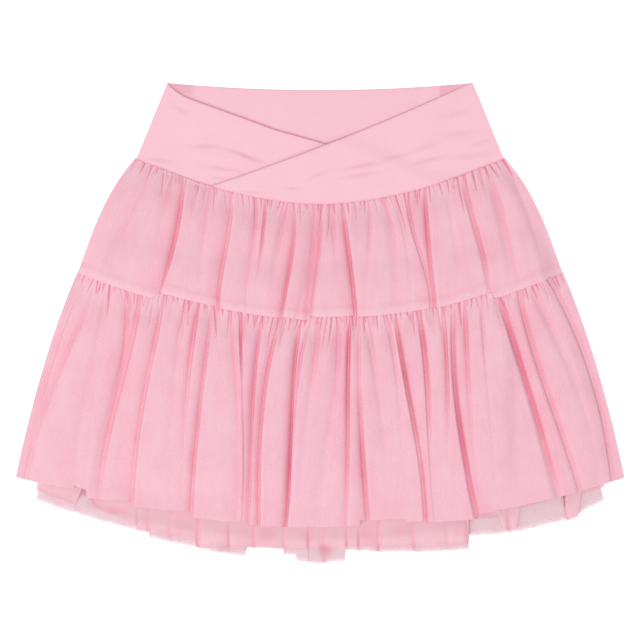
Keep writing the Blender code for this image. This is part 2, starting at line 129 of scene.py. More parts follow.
# Points along the crossover edge of the under panel, which the over panel hides from the
# crossing at x = 7.5 on
Point = namedtuple("Point", "x y")
UNDER_EDGE = [Point(*row) for row in (
    (-140.3, 220.3),
    (-133.0, 213.5),
    (-125.0, 208.3),
    (-110.0, 202.5),
    (-73.6, 189.5),
    (-40.5, 177.3),
    (7.5, 163.9),
    (60.0, 143.0),
    (98.0, 124.5),
    (141.0, 108.0),
)]

# Side edges of the tiers at the head, a third, two thirds and the foot
Edge = namedtuple("Edge", "head third two_thirds foot")
UPPER_SIDE = Edge(UPPER_HEAD_HALF, 193.4, 209.4, TIER_SEAM_HALF)
LOWER_SIDE = Edge(TIER_SEAM_HALF, 246.1, 264.3, HEM_HALF)
UNDERLAYER_SIDE = Edge(UNDERLAYER_HEAD_HALF, 226.0, 244.0, UNDERLAYER_HEM_HALF)

# Creases: where each runs (x at the head, third, two thirds, foot), how deep it is there
# as a share of the fold height, how wide its left and right slopes are, how dark the painted
# shade inside it is and how wide that painted dark strip is. A slope of about a millimetre is
# the crisp edge of a fold that lies over its neighbour
Crease = namedtuple("Crease", "x0 x1 x2 x3 d0 d1 d2 d3 left right s0 s1 s2 s3 wide")
STATIONS = (0.0, 1 / 3, 2 / 3, 1.0)
UPPER_CREASES = [Crease(*row) for row in (
    (-155.3, -168.4, -185.9, -194.7, 0.28, 0.36, 0.28, 0.17, 12.0, 6.0, 0.17, 0.26, 0.11, 0.0, 5.0),
    (-136.3, -143.4, -150.8, -156.4, 0.8, 0.19, 0.14, 0.06, 5.0, 5.0, 0.8, 0.13, 0.0, 0.0, 4.1),
    (-126.8, -129.9, -137.8, -148.0, 0.65, 0.96, 0.93, 0.3, 5.5, 0.9, 0.65, 0.96, 0.93, 0.7, 4.0),
    (-114.2, -117.6, -122.7, -127.0, 0.7, 0.08, 0.0, 0.04, 3.0, 1.5, 0.7, 0.0, 0.0, 0.04, 2.1),
    (-102.6, -106.3, -110.7, -109.8, 0.41, 0.37, 0.17, 0.06, 7.0, 6.0, 0.41, 0.37, 0.0, 0.02, 4.1),
    (-83.0, -84.5, -90.8, -94.0, 0.76, 0.48, 0.65, 1.0, 5.5, 0.9, 0.76, 0.48, 0.65, 1.2, 3.9),
    (-59.6, -61.1, -66.7, -69.1, 0.98, 0.5, 0.36, 0.22, 8.0, 4.0, 0.98, 0.5, 0.2, 0.2, 3.7),
    (-50.9, -52.9, -57.2, -60.0, 1.0, 0.54, 0.0, 0.0, 2.0, 2.0, 1.0, 0.54, 0.0, 0.0, 3.2),
    (-30.2, -37.6, -42.4, -43.8, 0.76, 0.48, 0.14, 0.0, 5.0, 5.0, 0.76, 0.48, 0.0, 0.0, 3.7),
    (-25.3, -24.8, -30.0, -36.0, 0.74, 0.63, 0.98, 1.0, 4.0, 0.9, 0.74, 0.63, 0.98, 1.11, 3.2),
    (-5.3, -7.2, -12.7, -20.3, 0.72, 0.44, 0.44, 0.44, 5.5, 6.0, 0.72, 0.1, 0.0, 0.02, 3.8),
    (-2.5, -4.5, -9.0, -12.0, 0.2, 0.5, 0.5, 0.4, 3.0, 3.0, 0.4, 0.85, 0.65, 0.5, 10.0),
    (1.9, -0.2, -4.6, -8.0, 0.26, 0.7, 0.7, 0.6, 3.5, 0.9, 0.1, 0.1, 0.1, 0.1, 1.5),
    (9.0, 13.7, 16.7, 16.5, 0.85, 0.26, 0.04, 0.0, 3.0, 4.0, 0.85, 0.26, 0.04, 0.0, 2.9),
    (19.8, 24.4, 28.9, 32.0, 0.89, 0.83, 0.91, 1.0, 3.6, 1.0, 0.89, 0.83, 0.91, 1.11, 4.6),
    (42.8, 45.4, 42.7, 41.5, 0.61, 0.28, 0.0, 0.0, 3.0, 3.0, 0.61, 0.28, 0.0, 0.0, 3.5),
    (55.4, 66.6, 69.9, 71.0, 0.8, 0.39, 0.28, 0.22, 7.0, 7.0, 0.8, 0.39, 0.04, 0.0, 4.1),
    (65.9, 78.3, 83.6, 87.0, 0.61, 0.22, 0.11, 0.0, 2.5, 5.0, 0.61, 0.07, 0.0, 0.0, 3.5),
    (80.4, 85.4, 96.4, 101.9, 1.0, 0.46, 0.39, 0.5, 0.9, 3.5, 1.0, 0.46, 0.15, 0.3, 2.9),
    (95.7, 97.8, 100.9, 105.0, 1.0, 0.91, 0.65, 1.0, 3.0, 0.9, 1.0, 0.91, 0.65, 1.2, 4.4),
    (114.3, 122.0, 127.1, 129.8, 0.33, 0.17, 0.06, 0.02, 3.0, 6.0, 0.26, 0.0, 0.0, 0.02, 5.0),
    (130.3, 139.3, 149.5, 155.5, 0.87, 0.61, 0.83, 0.3, 0.9, 5.0, 0.87, 0.61, 0.83, 0.33, 3.6),
    (150.6, 164.5, 173.0, 181.6, 0.39, 0.52, 0.37, 0.17, 5.0, 9.0, 0.35, 0.52, 0.37, 0.13, 5.0),
    (165.4, 185.2, 198.0, 210.0, 0.5, 0.22, 0.19, 0.17, 4.0, 5.0, 0.5, 0.0, 0.0, 0.0, 2.9),
)]
LOWER_CREASES = [Crease(*row) for row in (
    (-215.7, -240.5, -258.6, -272.9, 0.11, 0.22, 0.17, 0.22, 3.0, 1.5, 0.0, 0.17, 0.13, 0.22, 4.8),
    (-205.5, -230.5, -255.4, -268.9, 0.17, 0.46, 0.33, 0.19, 8.0, 1.6, 0.13, 0.46, 0.28, 0.11, 4.5),
    (-193.7, -204.6, -218.2, -225.5, 0.43, 0.17, 0.17, 0.11, 6.0, 7.0, 0.43, 0.0, 0.04, 0.02, 2.8),
    (-180.2, -180.7, -197.0, -209.3, 0.61, 0.43, 0.06, 0.04, 3.0, 3.0, 0.61, 0.43, 0.0, 0.04, 5.0),
    (-164.7, -178.5, -194.3, -204.2, 0.74, 0.55, 0.52, 0.39, 8.0, 1.0, 0.74, 0.5, 0.37, 0.26, 5.0),
    (-143.6, -157.0, -167.9, -173.5, 0.57, 0.47, 0.5, 0.55, 6.5, 0.9, 0.57, 0.39, 0.41, 0.37, 4.5),
    (-123.5, -131.6, -137.5, -142.6, 0.46, 0.14, 0.06, 0.0, 5.0, 6.0, 0.46, 0.0, 0.0, 0.0, 2.9),
    (-111.4, -120.8, -124.9, -128.0, 0.93, 0.5, 0.11, 0.0, 4.5, 1.2, 0.93, 0.24, 0.0, 0.0, 5.0),
    (-99.2, -107.4, -114.3, -119.0, 0.48, 0.48, 0.65, 0.55, 4.0, 0.9, 0.48, 0.48, 0.65, 0.48, 3.3),
    (-83.3, -77.6, -75.5, -77.3, 0.48, 0.39, 0.25, 0.33, 9.0, 1.5, 0.48, 0.37, 0.0, 0.0, 4.2),
    (-73.2, -71.5, -69.9, -71.7, 1.0, 0.17, 0.28, 0.15, 2.0, 1.5, 1.2, 0.15, 0.28, 0.15, 3.1),
    (-53.6, -60.9, -63.8, -66.0, 0.63, 0.67, 0.46, 0.44, 4.0, 0.9, 0.63, 0.67, 0.46, 0.33, 3.2),
    (-36.2, -50.7, -56.2, -56.8, 0.59, 0.67, 0.65, 0.61, 4.5, 0.9, 0.59, 0.67, 0.65, 0.61, 3.5),
    (-17.9, -25.2, -27.9, -32.3, 0.91, 0.8, 1.0, 0.8, 4.5, 0.8, 0.91, 0.8, 1.2, 0.8, 3.2),
    (-8.2, -22.1, -25.3, -26.4, 0.48, 0.46, 0.06, 0.0, 3.0, 1.5, 0.48, 0.46, 0.04, 0.0, 3.5),
    (-0.8, -8.3, -15.9, -19.4, 0.74, 0.28, 0.11, 0.0, 5.0, 4.0, 0.74, 0.15, 0.0, 0.0, 5.0),
    (15.3, 13.2, 4.2, 0.1, 0.78, 0.3, 0.19, 0.08, 7.0, 4.0, 0.78, 0.28, 0.0, 0.0, 4.1),
    (27.3, 25.4, 25.1, 24.0, 1.0, 0.85, 0.5, 0.33, 2.6, 1.0, 1.09, 0.85, 0.46, 0.17, 3.5),
    (35.5, 35.8, 38.7, 43.3, 0.37, 0.28, 0.87, 0.61, 3.2, 1.0, 0.37, 0.28, 0.87, 0.61, 5.0),
    (42.9, 53.5, 60.4, 62.4, 0.78, 0.19, 0.08, 0.0, 3.0, 7.0, 0.78, 0.0, 0.0, 0.0, 2.9),
    (60.1, 71.7, 75.8, 77.4, 0.59, 0.17, 0.0, 0.0, 2.5, 4.0, 0.59, 0.02, 0.0, 0.0, 4.0),
    (69.1, 79.0, 90.5, 97.0, 0.96, 1.0, 0.5, 0.91, 0.9, 4.5, 0.96, 1.09, 0.5, 0.91, 3.1),
    (89.9, 97.8, 101.2, 106.9, 1.0, 0.67, 0.14, 0.08, 1.5, 5.0, 1.15, 0.67, 0.09, 0.0, 4.2),
    (110.7, 116.3, 117.4, 123.9, 0.61, 0.54, 0.06, 0.0, 3.0, 1.5, 0.61, 0.54, 0.0, 0.0, 3.2),
    (122.7, 122.8, 130.3, 144.0, 0.41, 0.74, 1.0, 0.7, 0.9, 4.5, 0.41, 0.74, 1.04, 0.7, 4.0),
    (131.5, 135.2, 139.9, 151.0, 0.74, 0.39, 0.14, 0.0, 3.5, 2.0, 0.74, 0.39, 0.07, 0.0, 4.7),
    (147.5, 152.3, 158.1, 163.0, 0.5, 0.08, 0.03, 0.0, 2.0, 4.0, 0.5, 0.0, 0.0, 0.0, 3.2),
    (162.2, 182.5, 201.0, 219.4, 1.0, 1.0, 0.98, 0.44, 0.9, 5.5, 1.2, 1.2, 0.98, 0.22, 5.0),
    (181.7, 197.3, 218.4, 238.6, 0.8, 0.46, 0.41, 0.33, 1.2, 6.0, 0.8, 0.46, 0.33, 0.3, 5.0),
    (193.3, 222.7, 246.2, 256.3, 0.59, 0.19, 0.17, 0.06, 4.0, 9.0, 0.59, 0.13, 0.0, 0.0, 4.6),
    (209.4, 239.1, 258.2, 268.3, 0.5, 0.44, 0.33, 0.37, 1.5, 4.5, 0.5, 0.13, 0.28, 0.37, 5.0),
)]
# These rows leave out the darkness of their painted shade, which is the depth
UNDERLAYER_CREASES = [Crease(*row[:10], *row[4:8], row[10]) for row in (
    (-160.0, -164.0, -166.0, -168.0, 0.5, 0.5, 0.5, 0.6, 2.0, 0.8, 1.4),
    (-150.0, -153.0, -156.0, -158.0, 0.5, 0.5, 0.6, 0.6, 4.0, 0.8, 2.8),
    (-130.0, -133.0, -136.0, -138.5, 0.5, 0.5, 0.6, 0.5, 5.0, 0.8, 3.5),
    (-106.0, -109.0, -111.5, -113.0, 0.6, 0.7, 0.9, 0.9, 9.0, 0.8, 3.6),
    (-82.0, -83.0, -83.5, -84.0, 0.6, 0.7, 0.9, 0.8, 1.6, 0.8, 1.4),
    (-60.0, -61.0, -61.5, -61.5, 0.6, 0.7, 0.9, 0.9, 6.0, 0.8, 3.6),
    (-33.0, -33.5, -33.5, -33.5, 0.4, 0.4, 0.5, 0.5, 5.0, 1.5, 3.5),
    (-10.0, -10.5, -11.0, -11.0, 0.5, 0.6, 0.8, 0.8, 1.6, 0.8, 1.4),
    (8.0, 6.0, 4.0, 3.0, 0.3, 0.3, 0.4, 0.6, 6.0, 4.0, 3.6),
    (22.0, 23.0, 24.0, 24.5, 0.6, 0.6, 0.7, 0.7, 2.0, 0.8, 1.4),
    (33.0, 34.0, 35.0, 35.5, 0.6, 0.7, 0.9, 0.9, 1.0, 2.0, 1.4),
    (50.0, 51.0, 52.0, 52.5, 0.6, 0.7, 1.0, 1.0, 9.0, 0.8, 3.6),
    (80.0, 82.0, 84.0, 86.0, 0.4, 0.5, 0.6, 0.6, 4.0, 0.8, 2.8),
    (106.0, 110.0, 114.0, 117.0, 0.4, 0.4, 0.4, 0.4, 3.0, 1.5, 2.1),
    (122.0, 128.0, 133.0, 136.5, 0.5, 0.5, 0.5, 0.6, 1.2, 5.0, 3.5),
    (150.0, 160.0, 168.0, 174.0, 0.5, 0.5, 0.6, 0.6, 1.0, 4.0, 2.8),
    (175.0, 195.0, 213.0, 226.0, 0.4, 0.4, 0.5, 0.5, 5.0, 1.0, 3.5),
)]

# Stretches of an edge between its stepped folds: where each starts, and how far it hangs
# below the plain curve at its start and its end
Stretch = namedtuple("Stretch", "start drop end_drop")
TIER_SEAM_STRETCHES = [Stretch(*row) for row in (
    (-TIER_SEAM_HALF, 0.0, 2.3),
    (-148.0, -5.0, -3.0),
    (-94.0, -2.2, 0.5),
    (-36.0, -0.7, 1.8),
    (-8.0, -1.8, -2.0),
    (32.0, -0.6, -0.4),
    (105.0, 0.6, -2.8),
    (155.5, 4.4, 0.0),
)]
OUTER_STRETCHES = [Stretch(*row) for row in (
    (-HEM_HALF, 0.0, -3.5),
    (-225.5, -6.5, -5.5),
    (-214.0, 2.2, -4.0),
    (-173.5, 1.2, -4.1),
    (-119.0, 2.1, 0.6),
    (-66.0, 2.2, 1.0),
    (37.0, -4.4, -2.6),
    (52.0, -3.2, -1.8),
    (79.5, 1.1, 2.0),
    (97.0, 4.0, 7.3),
    (144.0, 2.7, 3.4),
    (162.0, 2.3, 2.3),
    (230.0, 1.9, 0.0),
)]
UNDER_FRONT_STRETCHES = [Stretch(*row) for row in (
    (-UNDERLAYER_HEM_HALF, -9.0, -9.0),
    (-223.0, -26.0, -24.0),
    (-209.0, -13.0, -8.0),
    (-168.0, -3.5, -3.5),
    (-157.5, -5.0, -6.0),
    (-112.5, 1.0, 1.0),
    (-102.0, -3.5, -5.0),
    (-69.0, -6.5, -9.0),
    (-33.5, -8.5, -9.5),
    (24.5, -11.0, 2.0),
    (136.5, -20.0, -16.0),
    (166.0, -3.0, 0.0),
    (184.0, -18.0, -18.0),
    (226.0, 6.0, 6.0),
    (238.0, -14.0, -12.0),
)]
UNDER_BACK_STRETCHES = [Stretch(*row) for row in (
    (-UNDERLAYER_HEM_HALF, 0.0, -3.0),
    (-157.5, 1.3, 0.5),
    (-100.5, 3.0, 1.5),
    (-69.0, -6.0, -7.0),
    (-33.5, -2.0, -2.0),
    (-21.0, 3.2, 4.6),
    (0.0, 4.6, 3.4),
    (23.0, -7.4, 7.4),
    (137.0, -5.0, 2.6),
    (184.0, 3.0, 5.0),
    (232.0, 5.0, 0.0),
)]

# Patches of painted shade on the underlayer: middle, half sizes, darkness
ShadePatch = namedtuple("ShadePatch", "x y half_x half_y dark")
SHADE_PATCHES = [ShadePatch(*row) for row in (
    (-217.0, -155.0, 5.0, 4.0, 0.9),
    (-207.0, -165.0, 4.0, 6.0, 0.45),
    (-186.0, -172.0, 9.0, 3.5, 0.5),
    (-126.0, -184.0, 10.0, 10.0, 0.34),
    (-88.0, -200.0, 4.0, 10.0, 0.3),
    (-70.0, -196.0, 7.0, 10.0, 0.26),
    (-50.0, -196.0, 9.0, 7.0, 0.42),
    (-12.0, -196.0, 6.0, 8.0, 0.26),
    (5.0, -208.0, 6.0, 6.0, 0.55),
    (43.0, -194.0, 7.0, 10.0, 0.44),
    (76.0, -190.0, 9.0, 7.0, 0.36),
    (130.0, -192.0, 8.0, 4.0, 0.4),
)]

# Short faint wrinkles in the jersey: both ends, half width and height
Wrinkle = namedtuple("Wrinkle", "x0 y0 x1 y1 width height")
UNDER_WRINKLES = [Wrinkle(*row) for row in (
    (-118, 163, -90, 162, 2.1, -0.57),
    (-90, 162, -50, 147, 2.1, -0.8),
    (-108, 145, -68, 139, 1.8, -0.57),
    (-100, 134, -86, 133, 1.4, -0.46),
    (-136, 201, -120, 192, 2.1, -0.46),
    (-164, 152, -130, 148, 2.1, -0.46),
    (-112, 154, -80, 152, 2.8, 0.34),
)]
OVER_WRINKLES = [Wrinkle(*row) for row in (
    (-74, 121, -46, 120, 1.4, -0.34),
    (-32, 124, -18, 124, 1.4, -0.46),
    (-12, 131, 10, 142, 2.1, -0.4),
    (18, 141, 60, 149, 2.1, -0.52),
    (20, 133, 54, 139, 1.8, -0.46),
    (54, 149, 86, 157, 2.1, -0.52),
    (82, 146, 118, 154, 2.1, -0.52),
    (84, 158, 110, 167, 2.4, -0.4),
    (120, 152, 160, 156, 2.4, -0.4),
    (108, 172, 146, 176, 2.8, -0.34),
    (112, 190, 138, 196, 2.8, -0.34),
    (138, 162, 158, 170, 2.1, -0.4),
)]

# Colours, as linear red, green and blue. The deep colours are mixed in as painted shade
# by the marks, and also give the cloth's random darker tone
JERSEY_LIGHT = (0.925, 0.548, 0.633)
JERSEY_DEEP = (0.70, 0.27, 0.36)
TULLE_LIGHT = (0.875, 0.523, 0.605)
TULLE_DEEP = (0.80, 0.25, 0.36)
# Painted light: the front underlayer is coloured lighter than the tiers' tulle, against the hem's
# shade
SHEER_LIGHT = (0.96, 0.60, 0.68)
# Painted shade: a greyer copy of the same sheer tulle, for the back sheet underneath
SHEER_SHADED = (0.80, 0.59, 0.64)
SHEER_DEEP = (0.80, 0.30, 0.40)
FLOOR_WHITE = (1.0, 1.0, 1.0)

# Share of the deep colour on plain cloth, its own tone, which painted highlights on crests
# go below and painted shade in creases above
PLAIN_FOLD = 0.14

# How far from a slit its painted shade reaches, and a distance past any strip or slit
SLIT_SIDE = 1.3
FAR = 50.0

# Pitch of the nets' threads and of the jersey's ribs, in metres
TULLE_PITCH = 0.0016
SHEER_PITCH = 0.0013
RIB_PITCH = 0.0014


def smooth(share):
    """0 to 1 with a level start and end."""
    share = np.clip(share, 0.0, 1.0)
    return share * share * (3.0 - 2.0 * share)


def curve_y(curve, x):
    """Height of a curve that rises from the middle of the garment to both sides."""
    return curve.middle + curve.rise * (np.abs(x) / curve.half) ** curve.power


def stepped_y(curve, stretches, x, slant=0.0):
    """A curve with the small steps where its folds overlap, each step a slant wide."""
    starts = [stretch.start for stretch in stretches] + [curve.half]
    drop = np.full_like(x, stretches[0].drop)
    for stretch, end in zip(stretches, starts[1:]):
        along = np.clip((x - stretch.start) / (end - stretch.start), 0.0, 1.0)
        level = stretch.drop + (stretch.end_drop - stretch.drop) * along
        past = smooth((x - stretch.start) / slant + 0.5) if slant else x > stretch.start
        drop = drop + (level - drop) * past
    return curve_y(curve, x) - drop


def tier_seam_y(x):
    """The tier seam with its steps."""
    return stepped_y(TIER_SEAM, TIER_SEAM_STRETCHES, x, SEAM_SLANT)


def cross_y(x):
    """Crossover edge of the over panel, which falls from the wearer's left to right."""
    return CROSS_MIDDLE + CROSS_SLOPE * x + CROSS_BOW * x * x


def under_y(x):
    """Crossover edge of the under panel, which falls from the wearer's right to left."""
    return np.interp(x, *zip(*UNDER_EDGE))


def through_four(values, v):
    """The smooth curve through values at the head, a third, two thirds and the foot."""
    total = 0.0
    for here, value in zip(STATIONS, values):
        weight = 1.0
        for other in STATIONS:
            if other != here:
                weight = weight * (v - other) / (here - other)
        total = total + weight * value
    return total


def trough(offset, left, right):
    """Share of full depth at a distance from the bottom of a crease."""
    wide_left, wide_right = slope_width(left), slope_width(right)
    middled = offset - 0.55 * (wide_left - wide_right)
    width = np.where(middled < 0, wide_left, wide_right)
    power = np.where(width < CRISP_SLOPE, 4.0, 1.2)
    return 1.0 / (1.0 + (middled / width) ** 2) ** power


def slope_width(width):
    """Width of a slope's profile, which falls faster on the crisp edge of a fold."""
    return 1.5 * width if width < CRISP_EDGE else 0.66 * width + 0.5


def crease_shares(creases, x, v):
    """Offset from each crease, its depth and its darkness at x, at height share v."""
    for crease in creases:
        offset = x - through_four(crease[:4], v)
        depth = np.interp(v, STATIONS, crease[4:8])
        dark = np.interp(v, STATIONS, crease[10:14])
        yield crease, offset, depth, dark


def open_share(creases, x, v):
    """Height left by the creases at x: 1 on open cloth, 0 in the deepest crease."""
    share = np.ones_like(x)
    for crease, offset, depth, dark in crease_shares(creases, x, v):
        share = share * (1.0 - depth * trough(offset, crease.left, crease.right))
    return share


def dark_strips(creases, x, v, share=1.0):
    """Distance outside the nearest strip of painted crease shade, negative inside it, and how dark
    that painted shade is.

    share narrows the strips.
    """
    outside = np.full_like(x, FAR)
    darkness = np.zeros_like(x)
    for crease, offset, depth, dark in crease_shares(creases, x, v):
        half = 0.5 * crease.wide * (0.3 + 0.7 * smooth(dark / 0.5)) * share
        distance = np.abs(offset - STRIP_SHIFT) - half
        darkness = np.where(distance < outside, dark, darkness)
        outside = np.minimum(outside, distance)
    return outside, darkness


def crisp_side(crease):
    """1 where the right slope of a crease is a crisp edge, -1 where the left one is."""
    return float(crease.right < CRISP_EDGE) - float(crease.left < CRISP_EDGE)


def soft_share(creases, x, v):
    """Share of the deep colour painted as shade beside the creases, more under the edge of a crisp
    one.
    """
    share = np.ones_like(x)
    for crease, offset, depth, dark in crease_shares(creases, x, v):
        side = crisp_side(crease)
        under = smooth(0.5 - 0.5 * side * offset)
        reach = (1.6 + 0.8 * under * abs(side)) * crease.wide + 1.0
        strength = 0.16 + (0.14 * under - 0.06) * abs(side)
        share = share * (1.0 - strength * depth * np.exp(-(np.abs(offset) / reach) ** 2))
    return 1.0 - share


def crest_share(creases, x, v):
    """Painted highlight on the crest of each fold that lies over its neighbour, just past its crisp
    edge.
    """
    share = np.zeros_like(x)
    for crease, offset, depth, dark in crease_shares(creases, x, v):
        side = crisp_side(crease)
        if side:
            past = offset * side - 0.5 * crease.wide - 1.6
            share = share + depth * np.exp(-(past / 1.7) ** 2)
    return np.minimum(share, 1.0)


# Heights of the layers, from the surface up
SECOND_LAYER = TULLE_WALL + GAP
SIDE_LEVEL = BACK_WALL + GAP
SHORTS_STACK = 2 * (SHORTS_WALL + GAP)
UNDERLAYER_FRONT_LEVEL = SIDE_LEVEL + SECOND_LAYER
LOWER_FRONT_LEVEL = UNDERLAYER_FRONT_LEVEL + SECOND_LAYER + UNDERLAYER_COVERED_FOLDS + 0.2
SHORTS_WAIST_HALF = 148.0
SHORTS_LEG_HALF = 160.0
SHORTS_HEM_Y = -105.0
CROTCH_HALF = 7.0
CROTCH_RISE = 70.0

# How far the layers above come down, and how far past a hidden edge they start to
SIDE_DROP = 16.0
HEM_DROP = 16.0
LAYER_DROP = 30.0
SHORTS_SIDE_ROOM = 22.0
SHORTS_HEM_ROOM = 57.0
SECOND_LAYER_ROOM = 54.0
CLEAR_HEM = 9.5
CLEAR_HEM_FRONT = 13.5


def side_cover(x, half):
    """1 over the covered layers, falling to 0 at the side edges of a front piece."""
    return smooth((half - np.abs(x) - 2.0) / SIDE_DROP)


def shorts_lift(x, y):
    """1 where the shorts lie underneath, 0 past their side and leg hems."""
    beside = smooth((SHORTS_LEG_HALF + SHORTS_SIDE_ROOM - np.abs(x)) / SIDE_DROP)
    below = smooth((y - SHORTS_HEM_Y + SHORTS_HEM_ROOM) / LAYER_DROP)
    return beside * below


def second_layer_rise(x, y):
    """1 from the tier seam down, where the back underlayer starts to lie underneath."""
    return smooth((curve_y(TIER_SEAM, x) + SECOND_LAYER_ROOM - y) / LAYER_DROP)


def drop_past_hem(x, y, clear):
    """1 inside the outer hem, 0 where the underlayer has come down clear past it."""
    hem = np.minimum(stepped_y(OUTER_HEM, OUTER_STRETCHES, x), curve_y(OUTER_HEM, x))
    return smooth((y - hem + clear + HEM_DROP) / HEM_DROP)


def underlayer_front_level(x, y):
    covered = UNDERLAYER_FRONT_LEVEL + SHORTS_STACK * shorts_lift(x, y)
    on_back_layer = SECOND_LAYER + GAP
    return on_back_layer + (covered - on_back_layer) * drop_past_hem(x, y, CLEAR_HEM_FRONT)


def lower_front_level(x, y, half):
    covered = LOWER_FRONT_LEVEL + SHORTS_STACK * shorts_lift(x, y)
    return SIDE_LEVEL + (covered - SIDE_LEVEL) * side_cover(x, half)


def upper_front_level(x, y, half):
    over_shorts = SIDE_LEVEL + SHORTS_STACK
    over_second = LOWER_FRONT_LEVEL + SHORTS_STACK
    covered = over_shorts + (over_second - over_shorts) * second_layer_rise(x, y)
    return SIDE_LEVEL + (covered - SIDE_LEVEL) * side_cover(x, half)


def seam_top(x):
    """Upper face of the upper tier at the tier seam, which the lower tier starts from."""
    level = upper_front_level(x, curve_y(TIER_SEAM, x), TIER_SEAM_HALF)
    return level + TULLE_WALL + 0.5 * UPPER_FOLDS * open_share(UPPER_CREASES, x, 1.0)


# Gathers, drawn unevenly: place at the seam, depth, length down the cloth, slopes, half the
# width of the slit and how far it leans to the side for each millimetre down
Gather = namedtuple("Gather", "x depth length left right slit lean")
LONG_GATHERS = 0.3
LONG_LENGTHS = (16.0, 32.0)
SHORT_LENGTHS = (5.0, 14.0)
CRISP_SLOPES = (0.45, 0.8)
SOFT_SLOPES = (0.8, 1.8)
DEPTHS = (0.45, 1.0)
SLIT_HALVES = (0.4, 0.95)
LEANS = (-0.14, 0.14)


def draw_gathers(half, count, seed):
    """Small tucks drawn up by a seam, uneven in place, depth and length."""
    draw = np.random.default_rng(seed)
    pitch = 2.0 * half / count
    gathers = []
    for number in range(count):
        place = -half + pitch * (number + 0.5 + draw.uniform(-0.32, 0.32))
        length = draw.uniform(*(LONG_LENGTHS if draw.random() < LONG_GATHERS else SHORT_LENGTHS))
        crisp, soft = draw.uniform(*CRISP_SLOPES), draw.uniform(*SOFT_SLOPES)
        left, right = (crisp, soft) if draw.random() < 0.5 else (soft, crisp)
        depth, slit, lean = [draw.uniform(*span) for span in (DEPTHS, SLIT_HALVES, LEANS)]
        gathers.append(Gather(place, depth, length, left, right, slit, lean))
    return gathers


def gathered(gathers, columns, from_seam):
    """Height left by the gathers at each column, by distance from the seam."""
    share = np.ones_like(from_seam)
    for gather in gathers:
        fade = np.exp(-(from_seam / gather.length) ** 2)
        dip = trough(columns - gather.x - gather.lean * from_seam, gather.left, gather.right)
        share = share * (1.0 - gather.depth * dip * fade)
    return share


def pale_ridges(slit, half, from_seam, length):
    """Painted highlights on the ridges beside the slits, fading down the cloth."""
    outside = np.abs(slit) - half
    return np.exp(-((outside - 1.1) / 0.8) ** 2 - (from_seam / length) ** 2)


def dark_slits(gathers, columns, from_seam):
    """Offset from the nearest slit between gathers, its half width and the darkness of the painted
    shade in it.

    The painted shade is 0 away from the slits, where the offset leaps to the next one.
    """
    nearest = np.full_like(from_seam, FAR)
    half_width = np.zeros_like(from_seam)
    darkness = np.zeros_like(from_seam)
    for gather in gathers:
        left = 1.0 - from_seam / (1.15 * gather.length)
        half = gather.slit * np.sign(left) * np.sqrt(np.abs(left))
        offset = columns - gather.x - gather.lean * from_seam
        nearer = np.abs(offset) < np.abs(nearest)
        nearest = np.where(nearer, offset, nearest)
        half_width = np.where(nearer, half, half_width)
        darkness = np.where(nearer, gather.depth * (np.abs(offset) < SLIT_SIDE), darkness)
    return nearest, half_width, darkness


# Columns beside each crease and gather, and the least distance between columns
CREASE_STEPS = (-3.2, -1.9, -1.1, -0.5, 0.0, 0.5, 1.1, 1.9, 3.2)
GATHER_STEPS = (-1.5, -0.75, 0.0, 0.75, 1.5)
COLUMN_GAP = 0.35


def column_places(half, creases, gathers, pitch, above=()):
    """Columns across the head of a tier, closer by each crease and gather.

    above holds the creases of the tier above, whose feet need columns too.
    """
    places = list(np.linspace(-half, half, int(2 * half / pitch) + 1))
    places += [crease.x3 + step for crease in above if crease.d3 > 0.25
               for step in CREASE_STEPS]
    places += [crease.x0 + step for crease in creases for step in CREASE_STEPS]
    places += [gather.x + step for gather in gathers for step in GATHER_STEPS]
    kept = [-half]
    for place in sorted(places):
        if kept[-1] + COLUMN_GAP < place < half - COLUMN_GAP:
            kept.append(place)
    return np.array(kept + [half])


def follow_creases(columns, side, creases, v):
    """x of every column at height share v, so that columns run along the creases."""
    marks = [-side.head] + [crease.x0 for crease in creases] + [side.head]
    paths = [[-x for x in side]] + [crease[:4] for crease in creases] + [list(side)]
    return np.interp(columns, marks, [through_four(path, v) for path in paths])


def uneven_edge(x, seed, height):
    """Small unevenness of a cut edge."""
    draw = np.random.default_rng(seed)
    total = 0.0
    for length in (1.7, 2.9, 5.3, 9.1, 17.0):
        total = total + draw.uniform(0.5, 1.0) * np.sin(x / length + draw.uniform(0.0, 6.3))
    return height * total / 2.0


def drop_rows(head_curve, head_shift, foot_curve, foot_shift, v):
    """y at height share v, with the steps of both edges fading out into the cloth."""
    y = head_curve + (foot_curve - head_curve) * v
    return y + head_shift * (1.0 - smooth(v / 0.16)) + foot_shift * smooth((v - 0.62) / 0.38)


def rows_down(count, crowding):
    """Shares from head to foot, closer together at the head."""
    return np.linspace(0.0, 1.0, count) ** crowding


def ripples(columns, v, seed):
    """Slow uneven waves that run down the cloth."""
    draw = np.random.default_rng(seed)
    total = 0.0
    for _ in range(6):
        length = draw.uniform(9.0, 34.0)
        bend = draw.uniform(-1.6, 1.6)
        start = draw.uniform(0.0, 2.0 * math.pi)
        strength = draw.uniform(0.5, 1.0)
        total = total + strength * np.sin(columns / length * 2.0 + bend * v * 3.0 + start)
    return RIPPLE_HEIGHT * total / 2.0


